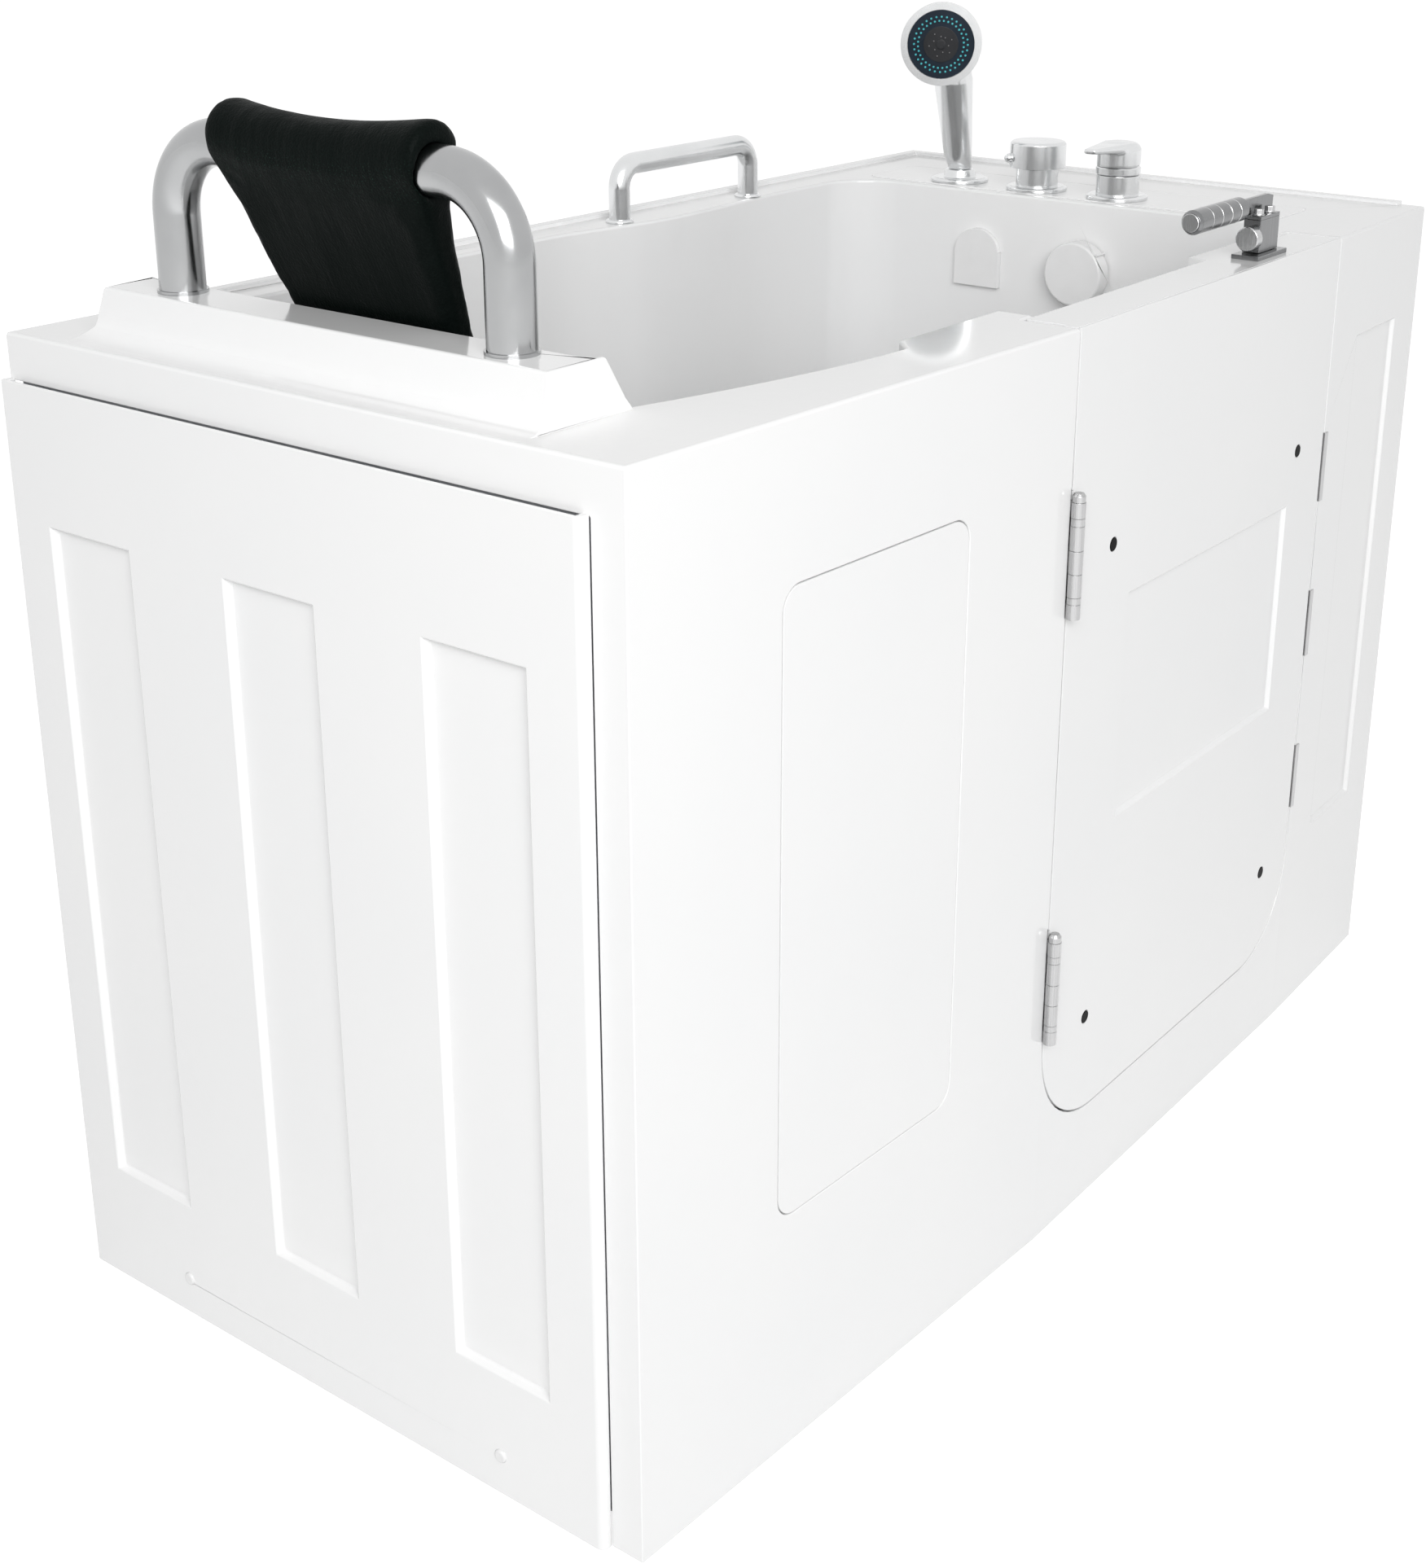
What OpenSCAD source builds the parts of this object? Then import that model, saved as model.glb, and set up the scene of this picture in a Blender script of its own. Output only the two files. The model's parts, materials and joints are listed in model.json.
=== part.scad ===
// Walk-in bathtub with an outward-swinging door, in millimetres.
// X runs from the head end (-X) to the foot end (+X), the door side faces -Y, Z is up and the floor is Z = 0.
// Inside the modules x is measured from the head end and y from the foremost line of the front.

/* [Tub shell] */
// Length from the head end to the foot end
tub_l = 1524; // [1400:1:1650]
// Width at the foremost line of the bowed front
tub_w = 780; // [740:1:840]
// Height of the rim above the floor
rim_h = 1016; // [960:1:1080]
// How far the front sits back at the head corner
head_setback = 25.3; // [10:0.1:32]
// How far the front sits back at the latch seam
latch_setback = 7.2; // [2:0.1:12]
// How far the front sits back at the foot corner
foot_setback = 18.8; // [14:0.1:30]
// Thickness of the moulded shell
shell_t = 5; // [4:0.1:6]
// Thickness of the rim deck
deck_t = 8; // [6:0.1:10]
// Depth of the lip turned down around the deck
lip_d = 45; // [35:1:60]
// Clearance from the floor to the apron and the end panel
skirt_gap = 4; // [2:0.5:10]

/* [Basin] */
// Width of the foot deck
foot_deck_w = 239; // [225:1:260]
// Width of the back ledge
back_ledge_w = 57; // [52:1:64]
// Width of the back ledge where the grab bar stands
grab_ledge_w = 82; // [74:1:92]
// Width of the back ledge near the foot end
back_foot_ledge_w = 68; // [62:1:76]
// Width of the front ledge at the head corner, from the foremost line
head_ledge_w = 141; // [125:1:155]
// Width of the front ledge beside the door post, from the foremost line
front_ledge_w = 84; // [76:1:92]
// Depth of the door posts, from the foremost line to the basin
jamb_depth = 106; // [100:1:116]
// Width of the thickened door post beside the hinges
jamb_w = 150; // [120:1:180]
// Height of the basin floor
floor_h = 95; // [88:1:110]
// Height of the seat
seat_h = 430; // [400:1:460]
// Distance from the hinge seam back to the front of the seat
seat_nose = 21; // [5:1:60]
// Distance from the head end to the foot of the backrest
back_foot = 232; // [215:1:260]
// Distance from the head end to the top of the backrest
back_top = 97; // [94:1:110]
// Fillet at the foot of the basin walls, in side view
basin_fillet = 45; // [30:1:60]
// Corner radius of the basin in plan
basin_corner_r = 68; // [50:1:80]

/* [Raised headrest deck] */
// Height above the rim
plateau_h = 48; // [35:1:60]
// Distance of its outer top edge from the head end
plateau_x = 40; // [34:1:44]
// Distance of its front end from the foremost line
plateau_y0 = 136; // [130:1:148]
// Distance of its back end from the foremost line
plateau_y1 = 680; // [660:1:700]
// Sweep of the concave foot along its outer side
plateau_flare = 22; // [14:1:28]

/* [Door] */
// Width of the front between the latch seam and the foot end
foot_w = 278; // [262:1:300]
// Width of the door along the length of the tub
door_w = 613; // [590:1:618]
// Height of the bottom of the door opening
sill_h = 120; // [112:1:135]
// Radius of the lower corners of the opening
door_r = 120; // [90:1:140]
// Gap around the closed door
seam = 2; // [1.5:0.1:2.5]
// Thickness of the door
door_t = 62; // [58:1:66]
// Thickness of the outer door skin
skin_t = 4; // [3:0.1:5]
// Width of the stop flange around the opening
stop_w = 24; // [20:1:28]
// Thickness of the door gasket
seal_t = 3.7; // [3:0.1:5]
// Gap between the closed door and the gasket
seal_gap = 0.3; // [0.2:0.1:0.5]
// Width of the shallow panel on the door
door_panel_w = 389; // [340:1:400]
// Height of the shallow panel on the door
door_panel_h = 253; // [200:1:280]
// Height of the centre of that panel
door_panel_z = 590; // [560:1:620]
// Diameter of the capped screw holes
cap_d = 15; // [12:0.5:18]
// Spacing of the capped holes along the door
cap_span_x = 448; // [430:1:460]
// Spacing of the capped holes up the door
cap_span_z = 540; // [500:1:560]
// Height of the lower pair of capped holes
cap_z = 239; // [225:1:260]

/* [Hinges] */
// Diameter of the hinge barrel
barrel_d = 14.3; // [13:0.1:16]
// Diameter of the hinge pin
hinge_pin_d = 7; // [6:0.1:8]
// Running clearance on the hinge pin, on the radius
hinge_fit = 0.05; // [0.03:0.01:0.1]
// Gap between hinge knuckles
knuckle_gap = 0.3; // [0.2:0.05:0.5]
// Thickness of the hinge leaves
leaf_t = 2.2; // [2:0.1:2.6]
// Height of the bottom of the upper hinge
hinge_hi = 727; // [700:1:760]
// Height of the bottom of the lower hinge
hinge_lo = 252; // [245:1:280]

/* [Panels] */
// Thickness of the end panel, face to frame
panel_t = 11.4; // [10:0.1:14]
// Width of the apron return beside the end panel
return_w = 61; // [50:1:70]
// Height of the top of the end panel
panel_top = 973; // [971:1:980]
// Width of the long recesses
recess_w = 115; // [100:1:130]
// Pitch of the three long recesses
recess_pitch = 245; // [225:1:255]
// Height of the bottom of the long recesses
recess_z0 = 138; // [120:1:160]
// Height of the top of the long recesses
recess_z1 = 838; // [800:1:860]
// Depth of the long recesses
recess_d = 8; // [6:0.5:8.5]
// Depth of the recesses in the door and beside it
front_recess_d = 5; // [3:0.5:6]
// Bevel of the recess sides
recess_bevel = 3; // [2:0.5:5]
// Width of the access panel
access_w = 269; // [240:1:290]
// Height of the access panel
access_h = 609; // [560:1:640]
// Corner radius of the access panel
access_r = 22; // [15:1:30]
// Seam around the access panel
access_seam = 1.2; // [0.8:0.1:2]

/* [Lock] */
// Length of the lock base plate
plate_l = 74; // [70:1:84]
// Width of the lock base plate
plate_w = 32; // [30:1:38]
// Thickness of the lock base plate
plate_t = 5; // [4:0.5:6]
// Distance of the lock shaft from the latch seam
shaft_back = 151; // [141:1:161]
// Length of the lock hub
hub_l = 48; // [44:1:54]
// Width of the lock hub
hub_w = 20; // [19:1:24]
// Height of the lock hub
hub_h = 36; // [32:1:40]
// Diameter of the latch shaft
shaft_d = 12; // [10:0.5:14]
// Length of the lever grip
grip_l = 118; // [100:1:125]
// Diameter of the lever grip
grip_d = 26; // [24:0.5:28]
// Length of each latch keeper
keeper_h = 84; // [70:1:95]
// Heights of the centres of the three latch keepers
keeper_z = [343, 546, 743];

/* [Headrest and grab bar] */
// Diameter of the headrest tube
rest_d = 42; // [38:0.5:44]
// Distance between the legs of the headrest bar
rest_span = 404; // [390:1:420]
// Distance of the front leg from the foremost line
rest_y = 202; // [195:1:210]
// Height of the top of the headrest bar above its deck
rest_h = 159; // [145:1:175]
// Bend radius of the headrest bar at its centre line
rest_bend = 67; // [60:1:75]
// Width of the headrest pad at the bar
pad_w_top = 254; // [235:1:260]
// Width of the headrest pad at its lower edge
pad_w_low = 190; // [170:1:205]
// Length of the headrest pad below the bar
pad_drop = 205; // [170:1:215]
// Thickness of the headrest pad at its lower edge
pad_thin = 25; // [18:1:32]
// Thickness of the headrest pad under the bar
pad_full = 62; // [52:1:70]
// How far the rolled ends of the pad stand above its middle
pad_lobe = 7; // [3:0.5:12]
// Rounding of the pad's lower corners
pad_corner = 20; // [10:1:30]
// Diameter of the grab bar
grab_d = 25.4; // [22:0.1:28]
// Distance between the legs of the grab bar
grab_span = 249; // [220:1:280]
// Height of the grab bar above the deck
grab_h = 79; // [70:1:90]
// Bend radius of the grab bar at its centre line
grab_bend = 27; // [22:1:34]
// Distance of the grab bar from the back edge
grab_back = 55; // [50:1:60]
// Distance of the nearer grab bar leg from the hinge seam
grab_in = 180; // [150:1:220]

/* [Deck fittings] */
// Distance of the deck fittings from the inner edge of the foot deck
fit_in = 50; // [48:1:56]
// Distance of the lever mixer from the foremost line
mixer_y = 347; // [335:1:358]
// Pitch of the deck fittings
fit_pitch = 117; // [106:1:120]
// Diameter of the fitting flanges
flange_d = 75; // [65:1:80]
// Diameter of the shower head
head_d = 103; // [90:1:110]
// Diameter of the drain control knob
knob_d = 80; // [70:1:84]
// How far the drain control knob stands off the wall
knob_l = 26; // [22:1:30]
// Height of the drain control and the filler cover
wall_fit_z = 929; // [905:1:935]
// Width of the filler cover
filler_w = 67; // [58:1:76]
// Height of the filler cover
filler_h = 75; // [66:1:82]

/* [Frame and waste] */
// Side of the square frame tube
tube_s = 30; // [25:1:35]
// Wall of the square frame tube
tube_wall = 2; // [1.5:0.1:3]
// Height of the underside of the base frame
frame_z = 36; // [36:1:38]
// Diameter of the foot pads
foot_d = 50; // [40:1:60]
// Height of the foot pads
foot_h = 9; // [8:0.5:12]
// Diameter of the foot studs
stud_d = 12; // [10:0.5:14]
// Diameter of the waste pipe
waste_d = 38; // [34:0.5:40]
// Wall of the waste pipe
waste_wall = 2; // [1.5:0.1:3]
// Distance of the drain from the inner edge of the foot deck
drain_in = 110; // [90:1:120]

/* [Hidden] */
$fn = 64;
e = 0.01;
clear = 0.3;

// Plan of the front: corners of its three faces
door_x = tub_l - foot_w - door_w;
latch_x = door_x + door_w;
head_turn = -atan(head_setback / door_x);
door_turn = atan(latch_setback / door_w);
foot_turn = atan((foot_setback - latch_setback) / (tub_l - latch_x));
door_len = sqrt(door_w * door_w + latch_setback * latch_setback);
basin_x1 = tub_l - foot_deck_w;
seat_front = door_x - seat_nose;
grab_x = door_x + grab_in;
under_deck = rim_h - deck_t;

// The origin is the middle of the whole box on the floor
screw_head = 2.5;
barrel_gap = 0.15;
origin_x = (tub_l - panel_t - screw_head) / 2;
origin_y = (tub_w - barrel_d - barrel_gap) / 2;
module at_tub() translate([-origin_x, -origin_y, 0]) children();
module on_head_face() at_tub() translate([0, head_setback, 0]) rotate([0, 0, head_turn]) children();
module on_door() at_tub() translate([door_x, 0, 0]) rotate([0, 0, door_turn]) children();
module on_foot_face() at_tub() translate([latch_x, latch_setback, 0]) rotate([0, 0, foot_turn]) children();

// Moves every edge of a counter-clockwise outline outwards by d
function edge_dir(a, b) = (b - a) / norm(b - a);
function shifted(a, b, d) = let (u = edge_dir(a, b)) [a + d * [u[1], -u[0]], u];
function meet(p, q) =
    let (c = p[1][0] * q[1][1] - p[1][1] * q[1][0], w = q[0] - p[0])
    abs(c) < 0.0005 ? q[0] : p[0] + p[1] * ((w[0] * q[1][1] - w[1] * q[1][0]) / c);
function grown(path, d) = let (n = len(path)) [for (i = [0 : n - 1])
    meet(shifted(path[(i + n - 1) % n], path[i], d), shifted(path[i], path[(i + 1) % n], d))];
function arc(c, r, a0, a1, n = 8) = [for (i = [0 : n]) let (a = a0 + (a1 - a0) * i / n) c + r * [cos(a), sin(a)]];

// A prism along Y whose section is drawn in side view
module along_y(y0, y1) translate([0, y1, 0]) rotate([90, 0, 0]) linear_extrude(y1 - y0) children();
module along_x(x0, x1) translate([x0, 0, 0]) rotate([90, 0, 90]) linear_extrude(x1 - x0) children();
module rounded(w, h, r) {
    translate([r, 0]) square([w - 2 * r, h]);
    translate([0, r]) square([w, h - 2 * r]);
    for (x = [r, w - r], y = [r, h - r]) translate([x, y]) circle(r);
}
// A shallow pocket with bevelled sides, opening towards -Y at y = 0
module pocket(w, h, d, bevel) {
    intersection() {
        linear_extrude(h) polygon([[0, -1], [w, -1], [w, 0], [w - bevel, d], [bevel, d], [0, 0]]);
        along_x(0, w) polygon([[-1, 0], [-1, h], [0, h], [d, h - bevel], [d, bevel], [0, 0]]);
    }
}

// ---- basin -------------------------------------------------------------

// Inner edge of the front ledge: it narrows from the head corner to the door post
post_x = door_x - jamb_w;
ledge_x0 = back_top + 42;
ledge_steps = 8;
function ledge_y(x) = front_ledge_w + (head_ledge_w - front_ledge_w) * pow((post_x - 22 - x) / (post_x - 22 - ledge_x0), 1.6);
// Back ledge: a smooth swell carries the grab bar
swell_x0 = grab_x - 135;
swell_x1 = grab_x + grab_span / 2 - 60;
swell_x2 = grab_x + grab_span + 60;
function ease(t) = (1 - cos(180 * t)) / 2;
function back_y(x) = tub_w - (x < swell_x1
    ? back_ledge_w + (grab_ledge_w - back_ledge_w) * ease((x - swell_x0) / (swell_x1 - swell_x0))
    : grab_ledge_w + (back_foot_ledge_w - grab_ledge_w) * ease((x - swell_x1) / (swell_x2 - swell_x1)));
head_r = basin_corner_r;
front_r = 16;
function basin_plan() = concat(
    [[back_top - 40, head_ledge_w], [ledge_x0, head_ledge_w]],
    [for (i = [1 : ledge_steps]) let (x = ledge_x0 + (post_x - 22 - ledge_x0) * i / ledge_steps) [x, ledge_y(x)]],
    [[post_x, jamb_depth]],
    arc([basin_x1 - front_r, jamb_depth + front_r], front_r, -90, 0, 4),
    arc([basin_x1 - basin_corner_r, tub_w - back_foot_ledge_w - basin_corner_r], basin_corner_r, 0, 90, 10),
    [for (i = [0 : 6]) let (x = swell_x2 - (swell_x2 - swell_x1) * i / 6) [x, back_y(x)]],
    [for (i = [1 : 6]) let (x = swell_x1 - (swell_x1 - swell_x0) * i / 6) [x, back_y(x)]],
    arc([back_top + head_r, tub_w - back_ledge_w - head_r], head_r, 90, 150, 6),
    [[back_top - 40, tub_w - back_ledge_w - 1.4 * head_r]]);

// Side view of the hollow: backrest, seat, riser and footwell
rest_slope = (back_foot - back_top) / (rim_h + plateau_h - seat_h);
rest_angle = atan(rest_slope);
open_top = rim_h + plateau_h + 40;
riser_draft = 14;
function back_x(z) = back_foot - (z - seat_h) * rest_slope;
seat_fillet = basin_fillet + 15;
function side_view() = concat(
    [[back_x(open_top), open_top]],
    arc([back_foot + seat_fillet * cos(rest_angle) - seat_fillet * (1 - sin(rest_angle)) * rest_slope,
        seat_h + seat_fillet], seat_fillet, 180 + rest_angle, 270, 6),
    arc([seat_front - 25, seat_h - 25], 25, 90, 10, 5),
    arc([seat_front + riser_draft + basin_fillet, floor_h + basin_fillet], basin_fillet, 180 + 5, 270, 6),
    arc([basin_x1 - basin_fillet, floor_h + basin_fillet], basin_fillet, 270, 360, 6),
    [[basin_x1, open_top]]);

module hollow(d = 0) {
    intersection() {
        linear_extrude(open_top - e) polygon(grown(basin_plan(), d));
        along_y(0, tub_w) polygon(grown(side_view(), d));
    }
}

// Outline of the door opening in side view, drawn in the plane of the door face
module opening(inset, top = 200) {
    r = door_r - inset;
    x0 = -seam / 2 + inset;
    x1 = door_len + seam / 2 - inset;
    z0 = sill_h + inset;
    h = rim_h + top - z0;
    translate([x0 + r, z0]) square([x1 - x0 - 2 * r, h]);
    translate([x0, z0 + r]) square([x1 - x0, h - r]);
    for (x = [x0 + r, x1 - r]) translate([x, z0 + r]) circle(r);
}
stop_y = door_t + seal_gap + seal_t;

// The drain lies in one line with its control, and the filler beside it
drain_y = mixer_y + 17;
filler_y = drain_y + 152;
module drain_place() at_tub() translate([basin_x1 - drain_in, drain_y, 0]) children();
module knob_place() at_tub() translate([basin_x1, drain_y, wall_fit_z]) rotate([0, -90, 0]) children();
module filler_place() at_tub() translate([basin_x1, filler_y, wall_fit_z + 2 - filler_h / 2]) children();
drain_hole_d = 52;
knob_hole_d = 24;
filler_hole_d = 28;

module basin() color("white") {
    difference() {
        at_tub() difference() {
            hollow(shell_t);
            hollow(0);
            translate([-10, -10, under_deck]) cube([tub_l + 20, tub_w + 20, 200]);
        }
        on_door() along_y(-20, jamb_depth + 20) opening(stop_w);
        drain_place() cylinder(d = drain_hole_d, h = floor_h + 20);
        knob_place() translate([0, 0, -shell_t - 5]) cylinder(d = knob_hole_d, h = shell_t + 10);
        filler_place() translate([-10, 0, filler_h / 2]) rotate([0, 90, 0]) cylinder(d = filler_hole_d, h = 30);
    }
}

// ---- deck --------------------------------------------------------------

module rim_outline(d = 0) polygon(grown([[0, head_setback], [door_x, 0], [latch_x, latch_setback],
    [tub_l, foot_setback], [tub_l, tub_w], [0, tub_w]], d));

module plateau_block(d) {
    top = rim_h + plateau_h - d;
    x_out = plateau_x + d;
    low = under_deck;
    intersection() {
        along_y(plateau_y0 - 60, plateau_y1 + 60) polygon(concat(
            [[x_out - 4 - plateau_flare, low]],
            arc([x_out - 4 - plateau_flare, rim_h + plateau_flare - d / 2], plateau_flare, 270, 360, 6),
            [[x_out, top], [back_top + 11, top], [ledge_x0 - 1, rim_h], [ledge_x0 - 1, low]]));
        along_x(0, back_top + 80) polygon([[plateau_y0 - 2 + d, low], [plateau_y1 + 26 - d, low],
            [plateau_y1 + 26 - d, rim_h], [plateau_y1 + 10 - d, rim_h + 12], [plateau_y1 - d, top], [plateau_y0 + d, top],
            [plateau_y0 + d, rim_h + 10], [plateau_y0 - 2 + d, rim_h + 3]]);
    }
}

lip_t = 6;
pad_rise = 1;
pad_x0 = basin_x1 + 13;
pad_x1 = basin_x1 + 127;
tile_lip_h = 4;
tile_lip_x = back_top + 90;
tile_lip_w = 16;
fit_x = basin_x1 + fit_in;
fit_z = rim_h + pad_rise;
function fit_y(i) = mixer_y + i * fit_pitch;
valve_hole_d = 34;
rest_hole_d = 16;
grab_stud_d = 10;
rest_x = (plateau_x + back_x(rim_h + plateau_h)) / 2 + 2;

module deck() color("white") {
    difference() {
        at_tub() difference() {
            union() {
                translate([0, 0, under_deck]) linear_extrude(deck_t) rim_outline();
                translate([0, 0, rim_h - lip_d]) linear_extrude(lip_d) intersection() {
                    difference() {
                        rim_outline();
                        rim_outline(-lip_t);
                    }
                    union() {
                        translate([-5, return_w]) square([20, tub_w]);
                        translate([-5, tub_w - 20]) square([tub_l + 10, 30]);
                        translate([tub_l - 15, return_w]) square([20, tub_w]);
                    }
                }
                plateau_block(0);
                translate([pad_x0, jamb_depth + 16, rim_h - e])
                    linear_extrude(pad_rise + e) rounded(pad_x1 - pad_x0, tub_w - back_foot_ledge_w - jamb_depth - 26, 14);
                translate([0, 0, rim_h - e]) linear_extrude(tile_lip_h + e) {
                    translate([tile_lip_x, tub_w - tile_lip_w]) square([tub_l - tile_lip_x, tile_lip_w]);
                    translate([tub_l - tile_lip_w, foot_setback + 30]) square([tile_lip_w, tub_w - foot_setback - 30]);
                }
            }
            plateau_hollow();
            hollow(0);
        }
        on_door() along_y(-20, stop_y) opening(0);
        on_door() along_y(stop_y - e, jamb_depth + 20) opening(stop_w);
        for (i = [0 : 2]) at_tub() translate([fit_x, fit_y(i), under_deck - 1]) cylinder(d = valve_hole_d, h = 40);
        for (y = [rest_y, rest_y + rest_span]) at_tub() translate([rest_x, y, under_deck]) cylinder(d = rest_hole_d, h = 90);
        for (x = [grab_x, grab_x + grab_span])
            at_tub() translate([x, tub_w - grab_back, under_deck - 1]) cylinder(d = grab_stud_d + 1, h = 30);
    }
}
// The space under the raised deck is open below
module plateau_hollow() {
    difference() {
        intersection() {
            plateau_block(deck_t - 2);
            translate([0, 0, 0]) linear_extrude(rim_h + plateau_h) rim_outline(-10);
        }
        hollow(shell_t + 1);
    }
}

// ---- front apron and door frame ----------------------------------------

module apron_outline() {
    difference() {
        rim_outline();
        rim_outline(-shell_t);
        translate([shell_t + 1, 60]) square([tub_l * 2, tub_w]);
        translate([-10, return_w]) square([tub_l * 2, tub_w]);
    }
}
// Mortises for the hinge leaves and the latch keepers
module seam_mortises() {
    hinge_sites() translate([-leaf_t - 0.4, -20, -1]) cube([leaf_t + 5, 20 + barrel_d / 2 + 30.3, hinge_h + 14]);
    keeper_sites() {
        translate([-5, -20, 0]) cube([5 + keeper_t, 20 + keeper_depth, keeper_h]);
        translate([-5, tongue_y - 1, keeper_h / 2 - 13]) cube([20, tongue_t + 2, 26]);
    }
}
access_x = door_x / 2 + 7;
access_z = 262;
rebate = 14;
foot_recess_x = 81;
foot_recess_w = 128;
foot_recess_z0 = 248;
foot_recess_h = 640;

module front_apron() color("white") {
    difference() {
        union() {
            at_tub() translate([0, 0, skirt_gap]) linear_extrude(under_deck - skirt_gap) apron_outline();
            // backing of the foot recess
            on_foot_face() translate([foot_recess_x - 4, shell_t - e, foot_recess_z0 - 4])
                cube([foot_recess_w + 8, front_recess_d - shell_t + 4, foot_recess_h + 8]);
            // rebate frame behind the access opening
            on_head_face() along_y(shell_t - e, shell_t + 6) translate([access_x - access_w / 2 - rebate, access_z - rebate])
                rounded(access_w + 2 * rebate, access_h + 2 * rebate, access_r + rebate);
        }
        on_door() along_y(-20, 60) opening(0);
        seam_mortises();
        on_head_face() along_y(-5, shell_t) translate([access_x - access_w / 2 - access_seam, access_z - access_seam])
            rounded(access_w + 2 * access_seam, access_h + 2 * access_seam, access_r + access_seam);
        on_head_face() along_y(0, shell_t + 20) translate([access_x - access_w / 2 + rebate, access_z + rebate])
            rounded(access_w - 2 * rebate, access_h - 2 * rebate, access_r);
        on_foot_face() translate([foot_recess_x, 0, foot_recess_z0])
            pocket(foot_recess_w, foot_recess_h, front_recess_d, recess_bevel);
    }
}

module access_panel() color("white") on_head_face() {
    along_y(0, shell_t - 0.5) translate([access_x - access_w / 2, access_z]) rounded(access_w, access_h, access_r);
    // four snap studs reach through the rebate frame
    for (x = [access_x - access_w / 2 + 60, access_x + access_w / 2 - 60])
        for (z = [access_z + rebate + 6, access_z + access_h - rebate - 12])
            translate([x - 12, shell_t - 1, z]) cube([24, 14, 6]);
}

frame_t = 5;
module door_frame() color("white") {
    difference() {
        on_door() {
            along_y(shell_t + clear + 0.05, stop_y + frame_t) intersection() {
                difference() {
                    opening(-frame_t);
                    opening(0);
                }
                frame_height();
            }
            along_y(stop_y, stop_y + frame_t) intersection() {
                difference() {
                    opening(-e);
                    opening(stop_w);
                }
                frame_height();
            }
            along_y(stop_y + frame_t - e, jamb_depth) intersection() {
                difference() {
                    opening(stop_w - frame_t);
                    opening(stop_w);
                }
                frame_height();
            }
        }
        at_tub() translate([0, jamb_depth - shell_t, 0]) cube([tub_l, 100, rim_h]);
        seam_mortises();
    }
}
module frame_height() translate([-400, 0]) square([2000, under_deck]);

module door_seal() color("dimgray") on_door() along_y(door_t + seal_gap, stop_y) intersection() {
    difference() {
        opening(6);
        opening(stop_w - 3);
    }
    frame_height();
}

// ---- hinges ------------------------------------------------------------

// Knuckle stack from the bottom: frame, bush, door, frame, door, bush, frame, pin head
stack = [16, 7, 24, 24, 25, 8, 16];
function stack_z(i) = i == 0 ? 0 : stack_z(i - 1) + stack[i - 1];
hinge_h = stack_z(6) + stack[6];
hinge_y = -barrel_d / 2 - barrel_gap;
module hinge_sites() for (z = [hinge_lo, hinge_hi]) on_door() translate([0, -barrel_d / 2, z]) children();
module barrel(i, d, bore) translate([0, hinge_y + barrel_d / 2, stack_z(i) + knuckle_gap / 2]) difference() {
    cylinder(d = d, h = stack[i] - knuckle_gap);
    translate([0, 0, -1]) cylinder(d = bore, h = stack[i] + 2);
}
module leaf(side, knuckles, bore) {
    for (i = knuckles) barrel(i, barrel_d, bore);
    difference() {
        union() {
            translate([side > 0 ? 0.4 : -leaf_t - 0.4, hinge_y + barrel_d / 2, 0]) cube([leaf_t, barrel_d / 2 + 30, hinge_h]);
        }
        translate([0, hinge_y + barrel_d / 2, -1]) cylinder(d = bore, h = hinge_h + 2);
        for (i = [0 : 6]) if (len([for (k = knuckles) if (k == i) k]) == 0)
            translate([0, hinge_y + barrel_d / 2, stack_z(i) - knuckle_gap / 2])
                cylinder(d = barrel_d + 1, h = stack[i] + knuckle_gap);
    }
}
hinge_bore = hinge_pin_d + 2 * hinge_fit;
module hinge_leaf_frame() color("silver") hinge_sites() leaf(-1, [0, 3, 6], hinge_pin_d + 0.02);
module hinge_leaf_door() color("silver") hinge_sites() leaf(1, [2, 4], hinge_bore);
module hinge_bushings() color("gainsboro") hinge_sites() for (i = [1, 5]) barrel(i, barrel_d - 0.2, hinge_bore);
module hinge_pins() color("silver") hinge_sites() translate([0, hinge_y + barrel_d / 2, 0]) {
    cylinder(d = hinge_pin_d, h = hinge_h + 1);
    translate([0, 0, hinge_h]) cylinder(d = barrel_d - 1, h = 6);
    translate([0, 0, hinge_h + 6]) cylinder(d1 = barrel_d - 1, d2 = barrel_d - 5, h = 3);
}

// ---- door --------------------------------------------------------------

// Edge of the door: its inner part is narrower, so that it clears the post as it swings
inner_inset = 3.4;
door_top = rim_h;
lock_pad_x0 = door_len - 222;
lock_pad_x1 = door_len - 42;
lock_pad_y = 84;
cap_x = (door_len - cap_span_x) / 2 + 10;
door_panel_x = (door_len - door_panel_w) / 2 + 20;
module door_outline(inset) intersection() {
    opening(seam / 2 + seam / 2 + inset);
    translate([-10, 0]) square([door_len + 20, door_top]);
}
module cap_sites() for (x = [cap_x, cap_x + cap_span_x], z = [cap_z, cap_z + cap_span_z])
    on_door() translate([x, 0, z]) rotate([-90, 0, 0]) children();
hinge_cut = leaf_t + 0.4;
module hinge_cuts() hinge_sites() translate([-2, -10, -1.5]) cube([hinge_cut + 2, barrel_d / 2 + 44, hinge_h + 11]);

module door_skin() color("white") {
    difference() {
        union() {
            on_door() along_y(0, skin_t) door_outline(0);
            on_door() translate([door_panel_x - 3, skin_t - e, door_panel_z - door_panel_h / 2 - 3])
                cube([door_panel_w + 6, front_recess_d - skin_t + 3, door_panel_h + 6]);
        }
        on_door() translate([door_panel_x, 0, door_panel_z - door_panel_h / 2])
            pocket(door_panel_w, door_panel_h, front_recess_d, recess_bevel);
        cap_sites() translate([0, 0, -1]) cylinder(d = cap_d, h = skin_t + 2);
        hinge_cuts();
    }
}

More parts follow.
